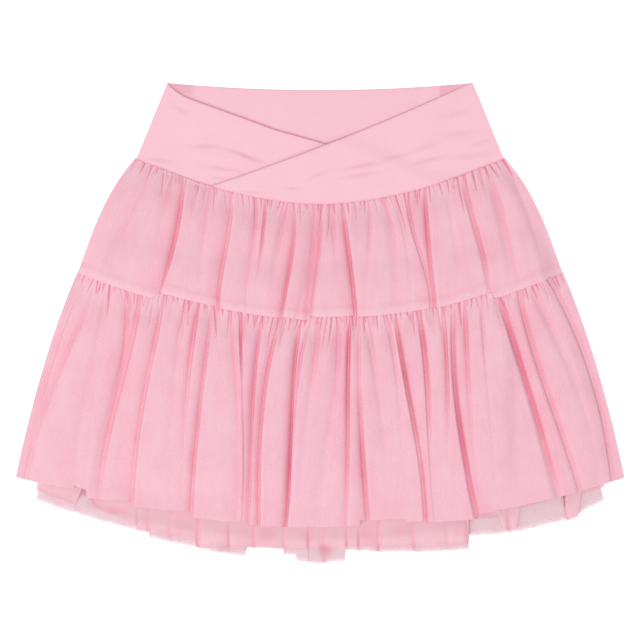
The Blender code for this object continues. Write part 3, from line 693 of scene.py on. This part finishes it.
def make_sheet(name, x, y, z, thickness, finish, marks, cloth=None):
    """A thin shell of cloth over a grid of rows and columns, upper face up.

    marks are what its material reads at each point. cloth gives the place across and down
    the cloth itself, which its grain follows.
    """
    rows, columns = x.shape
    bm = bmesh.new()
    bmesh.ops.create_grid(bm, x_segments=columns - 1, y_segments=rows - 1, size=1.0)
    mesh = bpy.data.meshes.new(name)
    bm.to_mesh(mesh)
    bm.free()
    flat = np.empty(len(mesh.vertices) * 3, dtype=np.float32)
    mesh.vertices.foreach_get("co", flat)
    flat = flat.reshape(-1, 3)
    column = np.rint((flat[:, 0] + 1.0) / 2.0 * (columns - 1)).astype(int)
    row = np.rint((1.0 - flat[:, 1]) / 2.0 * (rows - 1)).astype(int)
    place = np.stack([grid[row, column] for grid in (x, y, z)], axis=1) * MM
    mesh.vertices.foreach_set("co", place.astype(np.float32).ravel())
    for mark, values in marks.items():
        attribute = mesh.attributes.new(mark, "FLOAT", "POINT")
        attribute.data.foreach_set("value", values[row, column].astype(np.float32))
    across, down = cloth or (x, y)
    grain = np.stack([across[row, column], down[row, column], 0.0 * flat[:, 0]], axis=1) * MM
    attribute = mesh.attributes.new("grain", "FLOAT_VECTOR", "POINT")
    attribute.data.foreach_set("vector", grain.astype(np.float32).ravel())
    mesh.shade_smooth()
    keep_rim_sharp(mesh, row, column, rows - 1, columns - 1)
    mesh.materials.append(finish)
    mesh.update()
    piece = bpy.data.objects.new(name, mesh)
    bpy.context.scene.collection.objects.link(piece)
    shell = piece.modifiers.new("cloth thickness", "SOLIDIFY")
    shell.thickness = thickness * MM
    shell.offset = -1.0
    return piece


def keep_rim_sharp(mesh, row, column, last_row, last_column):
    """Marks the edges round a sheet, so that its cut edge isn't shaded as a round one."""
    ends = np.empty(len(mesh.edges) * 2, dtype=np.int32)
    mesh.edges.foreach_get("vertices", ends)
    first, second = ends.reshape(-1, 2).T
    sharp = np.zeros(len(mesh.edges), dtype=bool)
    for places, last in ((row, last_row), (column, last_column)):
        for value in (0, last):
            sharp |= (places[first] == value) & (places[second] == value)
    attribute = mesh.attributes.new("sharp_edge", "BOOLEAN", "EDGE")
    attribute.data.foreach_set("value", sharp)


class Value:
    """A number or colour from a material's node, for writing its maths as expressions."""

    def __init__(self, finish, socket):
        self.finish = finish
        self.socket = socket

    def maths(self, operation, other=0.0):
        return self.finish.node("ShaderNodeMath", {0: self, 1: other}, operation=operation)

    def __add__(self, other):
        return self.maths("ADD", other)

    def __sub__(self, other):
        return self.maths("SUBTRACT", other)

    def __mul__(self, other):
        return self.maths("MULTIPLY", other)

    def __truediv__(self, other):
        return self.maths("DIVIDE", other)

    def __rsub__(self, other):
        return self.finish.node("ShaderNodeMath", {0: other, 1: self}, operation="SUBTRACT")

    __radd__ = __add__
    __rmul__ = __mul__


class Finish:
    """A material that is being put together."""

    def __init__(self, name):
        self.material = bpy.data.materials.new(name)
        self.material.use_nodes = True
        self.tree = self.material.node_tree
        self.tree.nodes.clear()

    def node(self, kind, sockets=None, out=0, **settings):
        """Adds a node with its settings and its sockets' values or links; gives an output."""
        made = self.tree.nodes.new(kind)
        for name, value in settings.items():
            setattr(made, name, value)
        for name, value in (sockets or {}).items():
            if isinstance(value, Value):
                self.tree.links.new(value.socket, made.inputs[name])
            else:
                made.inputs[name].default_value = value
        return Value(self, made.outputs[out])

    def place(self):
        return self.node("ShaderNodeTexCoord", out="Object")

    def along_x(self, place):
        return self.node("ShaderNodeSeparateXYZ", {0: place}, out="X")

    def mark(self, name, out="Fac"):
        return self.node("ShaderNodeAttribute", out=out, attribute_name=name)

    def mapping(self, **sockets):
        return self.node("ShaderNodeMapping", sockets, vector_type="POINT")

    def noise_over(self, place, scale, detail, roughness):
        sockets = {"Vector": self.mapping(Vector=place, Scale=scale), "Scale": 1.0,
                   "Detail": detail, "Roughness": roughness}
        return self.node("ShaderNodeTexNoise", sockets, out="Fac")

    def along_grain(self, scale, detail, roughness):
        """Noise that follows the cloth, scaled across and down it."""
        return self.noise_over(self.mark("grain", "Vector"), (*scale, 1.0), detail, roughness)

    def noise(self, scale, detail, roughness):
        """Noise over the object, scaled along each axis."""
        return self.noise_over(self.place(), scale, detail, roughness)

    def mix(self, share, first, second):
        sockets = {0: share, 6: (*first, 1.0), 7: (*second, 1.0)}
        return self.node("ShaderNodeMix", sockets, out=2, data_type="RGBA")

    def bump(self, height, distance):
        sockets = {"Height": height, "Distance": distance, "Strength": 0.6}
        return self.node("ShaderNodeBump", sockets)

    def limit(self, value):
        """A value held between 0 and 1."""
        return self.node("ShaderNodeMath", {0: value, 1: 0.0}, operation="ADD", use_clamp=True)

    def cloth(self, sockets):
        shader = self.node("ShaderNodeBsdfPrincipled", sockets)
        surface = self.tree.nodes.new("ShaderNodeOutputMaterial")
        self.tree.links.new(shader.socket, surface.inputs["Surface"])
        return self.material


def net(finish, pitch):
    """The fine net of tulle, as a height from 0 to 1 over threads a pitch apart."""
    waves = []
    for angle in (0.0, math.radians(60.0), math.radians(120.0)):
        across = finish.along_x(finish.mapping(Vector=finish.place(), Rotation=(0.0, 0.0, angle)))
        waves.append((across * (2.0 * math.pi / pitch)).maths("COSINE"))
    return (waves[0] + waves[1] + waves[2]) / 6.0 + 0.5


def dark_share(finish, mark, blur):
    """Painted shade of the marked strips, from 0 outside them, with their edges blurred."""
    inside = finish.limit(0.5 - finish.mark(mark) / blur)
    return inside * inside * (3.0 - 2.0 * inside) * finish.mark(mark + "_dark")


def crimps(finish):
    """Fine creases that a gathered seam draws into the cloth, wandering and merging."""
    lines = []
    for scale, share in (((150.0, 22.0), 1.0), ((260.0, 40.0), 0.8)):
        wander = finish.along_grain(scale, 1.0, 0.4)
        line = finish.limit(1.0 - (wander - 0.5).maths("ABSOLUTE") * 22.0)
        lines.append(line * line * share)
    strength = finish.along_grain((120.0, 20.0), 1.0, 0.5)
    return finish.limit((lines[0] + lines[1]) * finish.limit(strength * 3.0 - 0.8))


def dark_slit_share(finish):
    """Painted shade in the slits between gathers."""
    offset = finish.mark("slit").maths("ABSOLUTE")
    inside = finish.limit(0.5 - (offset - finish.mark("slit_half")) / 0.45)
    return inside * finish.mark("slit_dark")


def make_tulle():
    finish = Finish("gathered tulle")
    strips = dark_share(finish, "strip", 1.1)
    slits = dark_slit_share(finish)
    crimp = crimps(finish) * finish.mark("crimp")
    dots = finish.limit((finish.along_grain((620.0, 1.0), 1.0, 0.5) - 0.47) * 7.0)
    # Painted shade in the crease strips, the slits between gathers, the marked folds and the
    # crimps; the dots are the seam's dark stitching
    open_part = (1.0 - 0.62 * strips) * (1.0 - 0.95 * slits) * (1.0 - finish.mark("fold"))
    open_part = open_part * (1.0 - 0.45 * crimp) * (1.0 - 0.8 * dots * finish.mark("stitch"))
    fold = 1.0 - open_part
    streaks = finish.along_grain((300.0, 16.0), 3.0, 0.6)
    fine_streaks = finish.along_grain((900.0, 60.0), 3.0, 0.6)
    patches = finish.noise((45.0, 38.0, 8.0), 3.0, 0.6)
    broad = finish.along_grain((70.0, 9.0), 2.0, 0.5)
    speckle = finish.noise((700.0, 700.0, 8.0), 2.0, 0.7)
    threads = net(finish, TULLE_PITCH)
    uneven = (streaks - 0.5) * 0.22 + (patches - 0.5) * 0.44 + (threads - 0.5) * 0.24
    uneven = uneven + (broad - 0.5) * 0.20 + (fine_streaks - 0.5) * 0.20 + (speckle - 0.5) * 0.72
    shade = finish.limit(fold + uneven)
    height = fine_streaks * 0.6 + streaks * 0.8 + threads * 0.2 - crimp * 0.3
    return finish.cloth({
        "Base Color": finish.mix(shade, TULLE_LIGHT, TULLE_DEEP),
        "Roughness": 0.78 + threads * 0.1,
        "Normal": finish.bump(height, 0.0004),
        "Sheen Weight": 0.08,
        "Sheen Roughness": 0.5,
        "Specular IOR Level": 0.15,
    })


def make_sheer(name, light, cover):
    """Sheer tulle, which lets through what lies under it, by its cover from 0 to 1."""
    finish = Finish(name)
    # Painted shade in the crease strips and the marked folds
    strips = dark_share(finish, "strip", 1.4)
    fold = 1.0 - (1.0 - 0.5 * strips) * (1.0 - finish.mark("fold"))
    edge = finish.mark("edge")
    streaks = finish.along_grain((260.0, 20.0), 3.0, 0.6)
    patches = finish.noise((60.0, 90.0, 8.0), 3.0, 0.6)
    speckle = finish.noise((700.0, 700.0, 8.0), 2.0, 0.7)
    threads = net(finish, SHEER_PITCH)
    uneven = (streaks - 0.5) * 0.3 + (patches - 0.5) * 0.5 + (threads - 0.5) * 0.1
    shade = finish.limit(fold + uneven + (speckle - 0.5) * 0.2)
    alpha = finish.limit(cover + shade * 0.35 - edge * 0.25 + (threads - 0.5) * 0.08)
    return finish.cloth({
        "Base Color": finish.mix(shade, light, SHEER_DEEP),
        "Roughness": 0.8,
        "Alpha": alpha,
        "Normal": finish.bump(streaks + threads * 0.2, 0.0004),
        "Sheen Weight": 0.08,
        "Specular IOR Level": 0.15,
    })


def make_jersey():
    finish = Finish("smooth jersey")
    # Painted shade beside edges, in wrinkles and in corners, and the dark stitched line of the seam
    shade_and_seam_line = finish.mark("shade_and_seam_line")
    patches = finish.noise((30.0, 24.0, 8.0), 4.0, 0.6)
    slub = finish.noise((110.0, 330.0, 200.0), 4.0, 0.6)
    ribs = (finish.along_x(finish.place()) * (2.0 * math.pi / RIB_PITCH)).maths("SINE")
    shade = finish.limit(shade_and_seam_line + 0.02 + (patches - 0.5) * 0.16 + (slub - 0.5) * 0.10)
    return finish.cloth({
        "Base Color": finish.mix(shade, JERSEY_LIGHT, JERSEY_DEEP),
        "Roughness": 0.8,
        "Normal": finish.bump(slub * 0.8 + ribs * 0.1, 0.0003),
        "Sheen Weight": 0.1,
        "Specular IOR Level": 0.15,
    })


# A waistband piece: x and y of its points, and its length from top edge to foot
Band = namedtuple("Band", "x y length")
BAND_ACROSS = np.linspace(0.0, 1.0, 201)
BAND_DOWN = np.concatenate([[0.0, 0.004, 0.01, 0.018], np.linspace(0.03, 1.0, 56)])[:, None]


def band_grid(top_x, top_y, foot_x):
    """Points between the top edge of a waistband piece and the yoke seam."""
    foot_y = curve_y(YOKE_SEAM, foot_x)
    x = top_x + (foot_x - top_x) * BAND_DOWN
    y = top_y + (foot_y - top_y) * BAND_DOWN
    return Band(x, y, top_y - foot_y)


def crossing_grid(edge_y, direction):
    """Points of a front panel, from one side of the waist to past the middle."""
    top_x = direction * (WAIST_HALF - BAND_ACROSS * (WAIST_HALF + CROSS_END))
    foot_x = direction * (YOKE_HALF - BAND_ACROSS * (YOKE_HALF + CROSS_END))
    return band_grid(top_x, edge_y(top_x), foot_x)


def edge_shade(distance, width):
    """Painted shadow on the cloth beside an edge that lies over it."""
    return 0.9 * np.exp(-(np.maximum(distance, 0.0) / width) ** 2)


def make_band(name, band, level, wrinkles, shade, jersey):
    """A folded piece of jersey, curled at its top edge and stitched along its foot."""
    curl = 1.0 - (1.0 - (1.0 - band.length * BAND_DOWN / 1.5).clip(0.0, 1.0) ** 2) ** 0.5
    z = level + JERSEY_WALL - BAND_CURL * curl
    for wrinkle in wrinkles:
        rise = wrinkle_height(wrinkle, band.x, band.y)
        z = z + rise
        # Painted shade in the hollows of the wrinkles
        shade = np.maximum(shade, 0.5 * np.clip(-rise, 0.0, 1.0))
    from_foot = band.length * (1.0 - BAND_DOWN)
    seam_line = 0.8 + 0.4 * np.sin(band.x / 0.9) * np.sin(band.x / 2.3 + 1.0)
    shade = shade + 0.60 * seam_line * np.exp(-(from_foot / 0.8) ** 2)
    # Painted shade beside edges and in wrinkles, with the dark stitched line of the seam
    marks = {"shade_and_seam_line": np.clip(shade, 0.0, 1.0)}
    return make_sheet(name, band.x, band.y, z, JERSEY, jersey, marks)


def build_waistband(jersey):
    """Back band, under panel and over panel, each lying on the ones before."""
    both_ways = BAND_ACROSS * 2.0 - 1.0
    waist_x = both_ways * WAIST_HALF
    waist_y = HALF_LENGTH - WAIST_DIP * (1.0 - (waist_x / WAIST_HALF) ** 2)
    back = band_grid(waist_x, waist_y, both_ways * YOKE_HALF)
    under = crossing_grid(under_y, -1)
    over = crossing_grid(cross_y, 1)

    # Painted shade on the back band: along both front edges, near its inside corners and a little
    # over it all
    along_edge = edge_shade(back.y - np.maximum(cross_y(back.x), under_y(back.x)), 1.5)
    left = 0.34 * smooth((-112.0 - back.x) / 9.0) * smooth((back.y - 207.0) / 5.0)
    right = 0.34 * smooth((back.x - 109.5) / 1.2) * smooth((134.0 - back.x) / 12.0)
    back_shade = np.maximum(along_edge, np.maximum(left, right) + 0.05)
    # Painted shadow beside the over panel's edge on the under panel, stronger to the right
    under_shade = edge_shade(under.y - cross_y(under.x), 2.4)
    under_shade = (0.15 + 0.50 * smooth((under.x + 75.0) / 75.0)) * under_shade

    under_level = JERSEY_WALL + GAP
    above_under = smooth((over.y - under_y(over.x) - 3.0) / 18.0)
    at_side = 1.0 - smooth((YOKE_HALF - over.x - 4.0) / SIDE_DROP)
    over_level = under_level + JERSEY_WALL + GAP
    over_level = over_level - under_level * np.maximum(above_under, at_side)

    pieces = []
    for name, node, band, level, wrinkles, shade, cut, area in (
            ("back_band", "waistband_back", back, 0.0, (), back_shade,
             (0.338, 0.110), 0.0300),
            ("under_band", "waistband_front_under", under, under_level, UNDER_WRINKLES,
             under_shade, (0.267, 0.112), 0.0160),
            ("over_band", "waistband_front_over", over, over_level, OVER_WRINKLES,
             0.0, (0.267, 0.112), 0.0160)):
        piece = make_band(name, band, level, wrinkles, shade, jersey)
        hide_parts(node)
        pieces.append(piece)
    return pieces


def wrinkle_height(wrinkle, x, y):
    """Height of one wrinkle, which fades towards its ends."""
    run_x, run_y = wrinkle.x1 - wrinkle.x0, wrinkle.y1 - wrinkle.y0
    length = math.hypot(run_x, run_y)
    along = ((x - wrinkle.x0) * run_x + (y - wrinkle.y0) * run_y) / length
    beside = ((x - wrinkle.x0) * -run_y + (y - wrinkle.y0) * run_x) / length
    middle = (along / length - 0.5) * 2.0
    return wrinkle.height * np.exp(-(beside / wrinkle.width) ** 2 - 1.4 * middle ** 2)


# A tier's cloth before it has heights: its creases and gathers, the columns at its head,
# the shares of its rows from head to foot, and x of every point
Drape = namedtuple("Drape", "creases gathers columns shares x")

# What the tulle reads at each point: share of the deep colour, which is painted shade and
# highlight over the cloth's own tone, distance outside a strip of painted crease shade and its
# darkness, offset from a slit, its half width and the darkness of its painted shade, and shares
# of crimps and of the stitch line
TULLE_MARKS = ("fold", "strip", "strip_dark", "slit", "slit_half", "slit_dark", "crimp",
               "stitch")

# How a seam shades the tier below it: how much paler the cloth is painted below it, as painted
# light, and how far down it is pale and has painted highlights on ridges, crimps and stitches
Seam = namedtuple("Seam", "pale pale_reach ridge_reach crimp_reach stitch_reach")
YOKE_SHADES = Seam(0.07, 16.0, 14.0, 12.0, 1.0)
TIER_SHADES = Seam(0.09, 20.0, 18.0, 16.0, 1.2)


def start_drape(side, creases, gathers, pitch, shares, above=()):
    """The columns, rows and x of a tier."""
    columns = column_places(side.head, creases, gathers, pitch, above)
    x = np.array([follow_creases(columns, side, creases, v) for v in shares])
    return Drape(creases, gathers, columns, shares, x)


def tulle_marks(drape):
    return {mark: np.zeros(drape.x.shape) for mark in TULLE_MARKS}


def shade_row(marks, row, drape, from_seam, seam=None):
    """Fills one row of the tulle's marks, painted shade and painted highlights among them, plainly
    where no seam's shades are given.
    """
    x, v = drape.x[row], drape.shares[row]
    narrowed = 0.6 + 0.4 * smooth(from_seam / 22.0) if seam else 1.0
    strips = dark_strips(drape.creases, x, v, narrowed)
    slits = dark_slits(drape.gathers, drape.columns, from_seam)
    fold = PLAIN_FOLD + soft_share(drape.creases, x, v)
    crimp, stitch = 0.0, 0.0
    if seam:
        # Painted highlights: on crests past crisp edges, on ridges beside the slits, and paler
        # cloth below the seam
        crest = crest_share(drape.creases, x, v) * smooth(from_seam / 12.0)
        ridges = pale_ridges(slits[0], slits[1], from_seam, seam.ridge_reach)
        fold = fold - 0.11 * crest - 0.22 * ridges
        fold = fold - seam.pale * np.exp(-(from_seam / seam.pale_reach) ** 2)
        crimp = np.exp(-(from_seam / seam.crimp_reach) ** 1.5)
        stitch = np.exp(-((from_seam - 0.7) / seam.stitch_reach) ** 2)
    for mark, values in zip(TULLE_MARKS, (fold, *strips, *slits, crimp, stitch)):
        marks[mark][row] = values


def finish_drape(name, node, drape, y, z, finish, marks):
    """Makes a tier's sheet and hides the solid that it stands for."""
    marks["fold"] = np.clip(marks["fold"], 0.0, 1.0)
    grain = (np.broadcast_to(drape.columns, drape.x.shape), y)
    piece = make_sheet(name, drape.x, y, z, TULLE, finish, marks, grain)
    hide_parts(node)
    return piece


def build_upper_tier(tulle):
    gathers = draw_gathers(UPPER_SIDE.head, count=60, seed=11)
    drape = start_drape(UPPER_SIDE, UPPER_CREASES, gathers, 4.0, rows_down(52, 1.35))
    x = drape.x
    head_y = curve_y(YOKE_SEAM, x[0]) + HEAD_TUCK
    foot_curve = curve_y(TIER_SEAM, x[-1])
    foot_shift = tier_seam_y(x[-1]) - foot_curve
    marks = tulle_marks(drape)
    y, z = np.zeros((2, *x.shape))
    for row, v in enumerate(drape.shares):
        y[row] = drop_rows(head_y, 0.0, foot_curve, foot_shift, v)
        from_seam = head_y - y[row]
        from_foot = y[row] - foot_curve - foot_shift
        height = UPPER_FOLDS * (0.05 + 0.95 * smooth(from_seam / FULL_FOLD_AT))
        height = height * (1.0 - 0.5 * smooth((v - 0.55) / 0.45))
        puckered = gathered(gathers, drape.columns, from_seam)
        rippled = smooth(from_seam / RIPPLE_REACH) * smooth(from_foot / 12.0)
        band = smooth((SEAM_BAND - from_foot) / 1.2)
        at_under_panel = smooth((6.0 - CROSS_END - x[row]) / 8.0)
        z[row] = upper_front_level(x[row], y[row], through_four(UPPER_SIDE, v)) + TULLE_WALL
        z[row] += height * open_share(UPPER_CREASES, x[row], v)
        z[row] += ripples(drape.columns, v, 5) * rippled - GATHER_HEIGHT * (1.0 - puckered)
        z[row] += SEAM_BAND_HEIGHT * band - SEAM_ROLL * np.exp(-(from_foot / 0.9) ** 2)
        z[row] -= UNDER_PANEL_DIP * at_under_panel * np.exp(-(from_seam / 6.0) ** 2)
        shade_row(marks, row, drape, from_seam, YOKE_SHADES)
        above_band = np.exp(-((from_foot - SEAM_BAND - 2.0) / 2.2) ** 2)
        marks["fold"][row] += 0.10 * above_band - 0.15 * band
        marks["strip_dark"][row] *= 1.0 - 0.3 * band
    return finish_drape("upper_tier_front", "tier1_front", drape, y, z, tulle, marks)


def seam_folds(x, y):
    """1 on the small folds that lie over the large steps of the tier seam, 0 elsewhere."""
    share = np.zeros_like(x)
    for before, after in zip(TIER_SEAM_STRETCHES, TIER_SEAM_STRETCHES[1:]):
        jump = after.drop - before.end_drop
        if abs(jump) > LARGE_STEP:
            below = curve_y(TIER_SEAM, x) - min(before.end_drop, after.drop) - y
            aside = (x - after.start) * math.copysign(1.0, jump)
            across = smooth((aside + 3.5) / 2.5) * smooth((3.2 + 0.45 * below - aside) / 1.8)
            share += across * np.exp(-(below / 13.0) ** 2)
    return share


def build_lower_tier(tulle):
    gathers = draw_gathers(LOWER_SIDE.head, count=98, seed=23)
    drape = start_drape(LOWER_SIDE, LOWER_CREASES, gathers, 6.0, rows_down(56, 1.35),
                        UPPER_CREASES)
    x = drape.x
    head_curve = curve_y(TIER_SEAM, x[0])
    head_shift = np.max([tier_seam_y(x[0] + aside) for aside in (-2.4, 0.0, 2.4)], axis=0)
    head_shift = head_shift - head_curve + HEAD_OVERLAP
    foot_curve = curve_y(OUTER_HEM, x[-1])
    foot_shift = stepped_y(OUTER_HEM, OUTER_STRETCHES, x[-1]) - foot_curve
    foot_shift = foot_shift + uneven_edge(x[-1], seed=3, height=0.35)
    marks = tulle_marks(drape)
    y, z = np.zeros((2, *x.shape))
    for row, v in enumerate(drape.shares):
        y[row] = drop_rows(head_curve, head_shift, foot_curve, foot_shift, v)
        from_seam = head_curve + head_shift - y[row]
        opened = open_share(LOWER_CREASES, x[row], v)
        puckered = gathered(gathers, drape.columns, from_seam)
        lifted = seam_folds(x[row], y[row])
        level = lower_front_level(x[row], y[row], through_four(LOWER_SIDE, v)) + TULLE_WALL
        free = level + LOWER_FOLDS * opened * (1.0 - 0.3 * smooth((v - 0.7) / 0.3))
        hung = smooth(from_seam / FULL_FOLD_AT)
        z[row] = seam_top(x[row]) * (1.0 - hung) + free * hung
        z[row] += STEP_FOLD_HEIGHT * lifted - 0.1
        z[row] -= GATHER_HEIGHT * (1.0 - puckered) * (1.0 - lifted)
        z[row] += ripples(drape.columns, v, 8) * smooth(from_seam / RIPPLE_REACH)
        shade_row(marks, row, drape, from_seam, TIER_SHADES)
        # Painted highlight on the small folds over the seam's steps, which keep no painted shade of
        # slits
        marks["fold"][row] -= 0.08 * lifted
        marks["slit_dark"][row] *= 1.0 - lifted
    return finish_drape("lower_tier_front", "tier2_front", drape, y, z, tulle, marks)


def build_underlayer(sheer, sheer_shaded):
    """Front and back of the longer second layer, flat pleats that step past the hem."""
    shares = 1.0 - rows_down(44, 1.5)[::-1]
    drape = start_drape(UNDERLAYER_SIDE, UNDERLAYER_CREASES, (), 3.0, shares)
    x = drape.x
    head_y = curve_y(TIER_SEAM, x[0]) - 2.0
    foot_curve = curve_y(UNDER_HEM, x[-1])
    pieces = []
    for name, node, stretches, finish, seed, raised in (
            ("underlayer_back_sheet", "underlayer_back", UNDER_BACK_STRETCHES, sheer_shaded,
             9, False),
            ("underlayer_front_sheet", "underlayer_front", UNDER_FRONT_STRETCHES, sheer,
             7, True)):
        foot_shift = stepped_y(UNDER_HEM, stretches, x[-1]) - foot_curve
        foot_shift = foot_shift + uneven_edge(x[-1], seed, height=0.5)
        marks = {mark: np.zeros(x.shape) for mark in ("fold", "edge", "strip", "strip_dark")}
        y, z = np.zeros((2, *x.shape))
        for row, v in enumerate(shares):
            y[row] = drop_rows(head_y, 0.0, foot_curve, foot_shift, v)
            opened = open_share(UNDERLAYER_CREASES, x[row], v)
            if raised:
                shown = smooth((curve_y(OUTER_HEM, x[row]) - y[row] - 4.0) / 12.0)
                height = UNDERLAYER_COVERED_FOLDS * (1.0 - shown) + UNDERLAYER_FOLDS * shown
                level = underlayer_front_level(x[row], y[row]) + TULLE_WALL
            else:
                height = UNDERLAYER_BACK_FOLDS
                level = SIDE_LEVEL * drop_past_hem(x[row], y[row], CLEAR_HEM) + 0.7
            z[row] = level + height * opened
            strips = dark_strips(UNDERLAYER_CREASES, x[row], v)
            marks["strip"][row], marks["strip_dark"][row] = strips
            marks["edge"][row] = np.exp(-((y[row] - foot_curve - foot_shift) / 2.5) ** 2)
            # Painted shade in the pleats' creases and in the patches
            marks["fold"][row] = 0.02 + 0.14 * (1.0 - opened)
            for shade_patch in SHADE_PATCHES:
                across = (x[row] - shade_patch.x) / shade_patch.half_x
                down = (y[row] - shade_patch.y) / shade_patch.half_y
                marks["fold"][row] += shade_patch.dark * np.exp(-across ** 4 - down ** 4)
        pieces.append(finish_drape(name, node, drape, y, z, finish, marks))
    return pieces


def mirrored(creases):
    """The creases of a front piece, mirrored for the side that it hides."""
    return [Crease(*(-x for x in crease[:4]), *crease[4:8], crease.right, crease.left,
                   *crease[10:]) for crease in reversed(creases)]


def build_back_tiers(tulle):
    """The lower side of the skirt, pressed flat by what lies on it."""
    pieces = []
    for name, node, side, head, foot, cut, front_creases in (
            ("upper_tier_back", "tier1_back", UPPER_SIDE, YOKE_SEAM, TIER_SEAM, UPPER_CUT,
             UPPER_CREASES),
            ("lower_tier_back", "tier2_back", LOWER_SIDE, TIER_SEAM, OUTER_HEM, LOWER_CUT,
             LOWER_CREASES)):
        gathers = draw_gathers(side.head, count=56, seed=31)
        drape = start_drape(side, mirrored(front_creases), gathers, 6.0, rows_down(26, 1.4))
        x = drape.x
        head_y = curve_y(head, x[0]) - GAP
        foot_y = curve_y(foot, x[-1])
        y = head_y + (foot_y - head_y) * drape.shares[:, None]
        z = np.zeros_like(y)
        marks = tulle_marks(drape)
        for row, v in enumerate(drape.shares):
            from_seam = head_y - y[row]
            puckered = gathered(gathers, drape.columns, from_seam)
            hung = smooth(from_seam / FULL_FOLD_AT)
            opened = 1.0 - hung + hung * open_share(drape.creases, x[row], v)
            z[row] = TULLE + 0.1 + BACK_FOLDS * (1.0 - puckered * opened)
            shade_row(marks, row, drape, from_seam)
        pieces.append(finish_drape(name, node, drape, y, z, tulle, marks))
    return pieces


def build_shorts(jersey):
    """Plain inner shorts with two short legs."""
    across = np.linspace(0.0, 1.0, 161)
    down = np.linspace(0.0, 1.0, 41)[:, None]
    head_x = (across * 2.0 - 1.0) * SHORTS_WAIST_HALF
    leg_x = (across * 2.0 - 1.0) * SHORTS_LEG_HALF
    between = np.clip(1.0 - np.abs(leg_x) / CROTCH_HALF, 0.0, 1.0)
    head_y = curve_y(YOKE_SEAM, head_x) - 2.0 * GAP
    leg_y = SHORTS_HEM_Y + CROTCH_RISE * between
    x = head_x + (leg_x - head_x) * down
    y = head_y + (leg_y - head_y) * down
    pieces = []
    for name, node, level in (("shorts_back_sheet", "shorts_back", 0.0),
                              ("shorts_front_sheet", "shorts_front", SHORTS_WALL + GAP)):
        z = SIDE_LEVEL + SECOND_LAYER * second_layer_rise(x, y) + level + SHORTS_WALL
        piece = make_sheet(name, x, y, z, SHORTS_JERSEY, jersey, {"shade_and_seam_line": np.zeros_like(x)})
        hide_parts(node)
        pieces.append(piece)
    return pieces


def build_surface():
    """A plain pale floor."""
    bm = bmesh.new()
    bmesh.ops.create_grid(bm, x_segments=1, y_segments=1, size=6.0)
    mesh = bpy.data.meshes.new("floor")
    bm.to_mesh(mesh)
    bm.free()
    finish = Finish("pale floor")
    mesh.materials.append(finish.cloth({
        "Base Color": (*FLOOR_WHITE, 1.0),
        "Roughness": 0.9,
        "Emission Color": (*FLOOR_WHITE, 1.0),
        "Emission Strength": 0.45,
    }))
    floor = bpy.data.objects.new("floor", mesh)
    bpy.context.scene.collection.objects.link(floor)


def build_lights():
    """A pale studio with a broad light overhead and a faint one from the side."""
    world = bpy.data.worlds.new("studio")
    bpy.context.scene.world = world
    world.use_nodes = True
    around = world.node_tree.nodes["Background"].inputs
    around["Color"].default_value = (1.0, 1.0, 1.0, 1.0)
    around["Strength"].default_value = 0.44
    for name, place, size, power in (("overhead", (-0.5, -0.7, 4.2), 1.8, 112.0),
                                     ("side", (-2.0, -1.2, 1.2), 0.8, 8.0)):
        light = bpy.data.lights.new(name, "AREA")
        light.energy = power
        light.size = size
        lamp = bpy.data.objects.new(name, light)
        lamp.location = place
        bpy.context.scene.collection.objects.link(lamp)
        lamp.rotation_euler = (-lamp.location).to_track_quat("-Z", "Y").to_euler()


# The photograph's frame: its side in pixels and what a pixel covers on the garment
PHOTO_SIDE = 640
MM_PER_PIXEL = 0.92
CENTRE_Y = 2.76
CAMERA_HEIGHT = 3000.0
SENSOR = 36.0


def build_camera():
    camera = bpy.data.cameras.new("camera")
    camera.sensor_width = SENSOR
    camera.lens = SENSOR * CAMERA_HEIGHT / (PHOTO_SIDE * MM_PER_PIXEL)
    camera.clip_end = 100.0
    viewer = bpy.data.objects.new("camera", camera)
    viewer.location = (0.0, CENTRE_Y * MM, CAMERA_HEIGHT * MM)
    bpy.context.scene.collection.objects.link(viewer)
    bpy.context.scene.camera = viewer


bpy.context.scene.view_settings.view_transform = "Standard"
build_camera()
tulle_finish = make_tulle()
jersey_finish = make_jersey()
sheer_finish = make_sheer("sheer tulle", SHEER_LIGHT, 0.80)
sheer_shaded_finish = make_sheer("shaded sheer tulle underneath", SHEER_SHADED, 0.65)
band_pieces = build_waistband(jersey_finish)
tier_pieces = [build_upper_tier(tulle_finish), build_lower_tier(tulle_finish)]
tier_pieces += build_back_tiers(tulle_finish)
underlayer_pieces = build_underlayer(sheer_finish, sheer_shaded_finish)
shorts_pieces = build_shorts(jersey_finish)
for pieces, slot in ((band_pieces, "jersey"), (tier_pieces, "tulle"),
                     (underlayer_pieces, "sheer_tulle"), (shorts_pieces, "shorts_jersey")):
    for piece in pieces:
        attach(piece, "root")
build_surface()
build_lights()
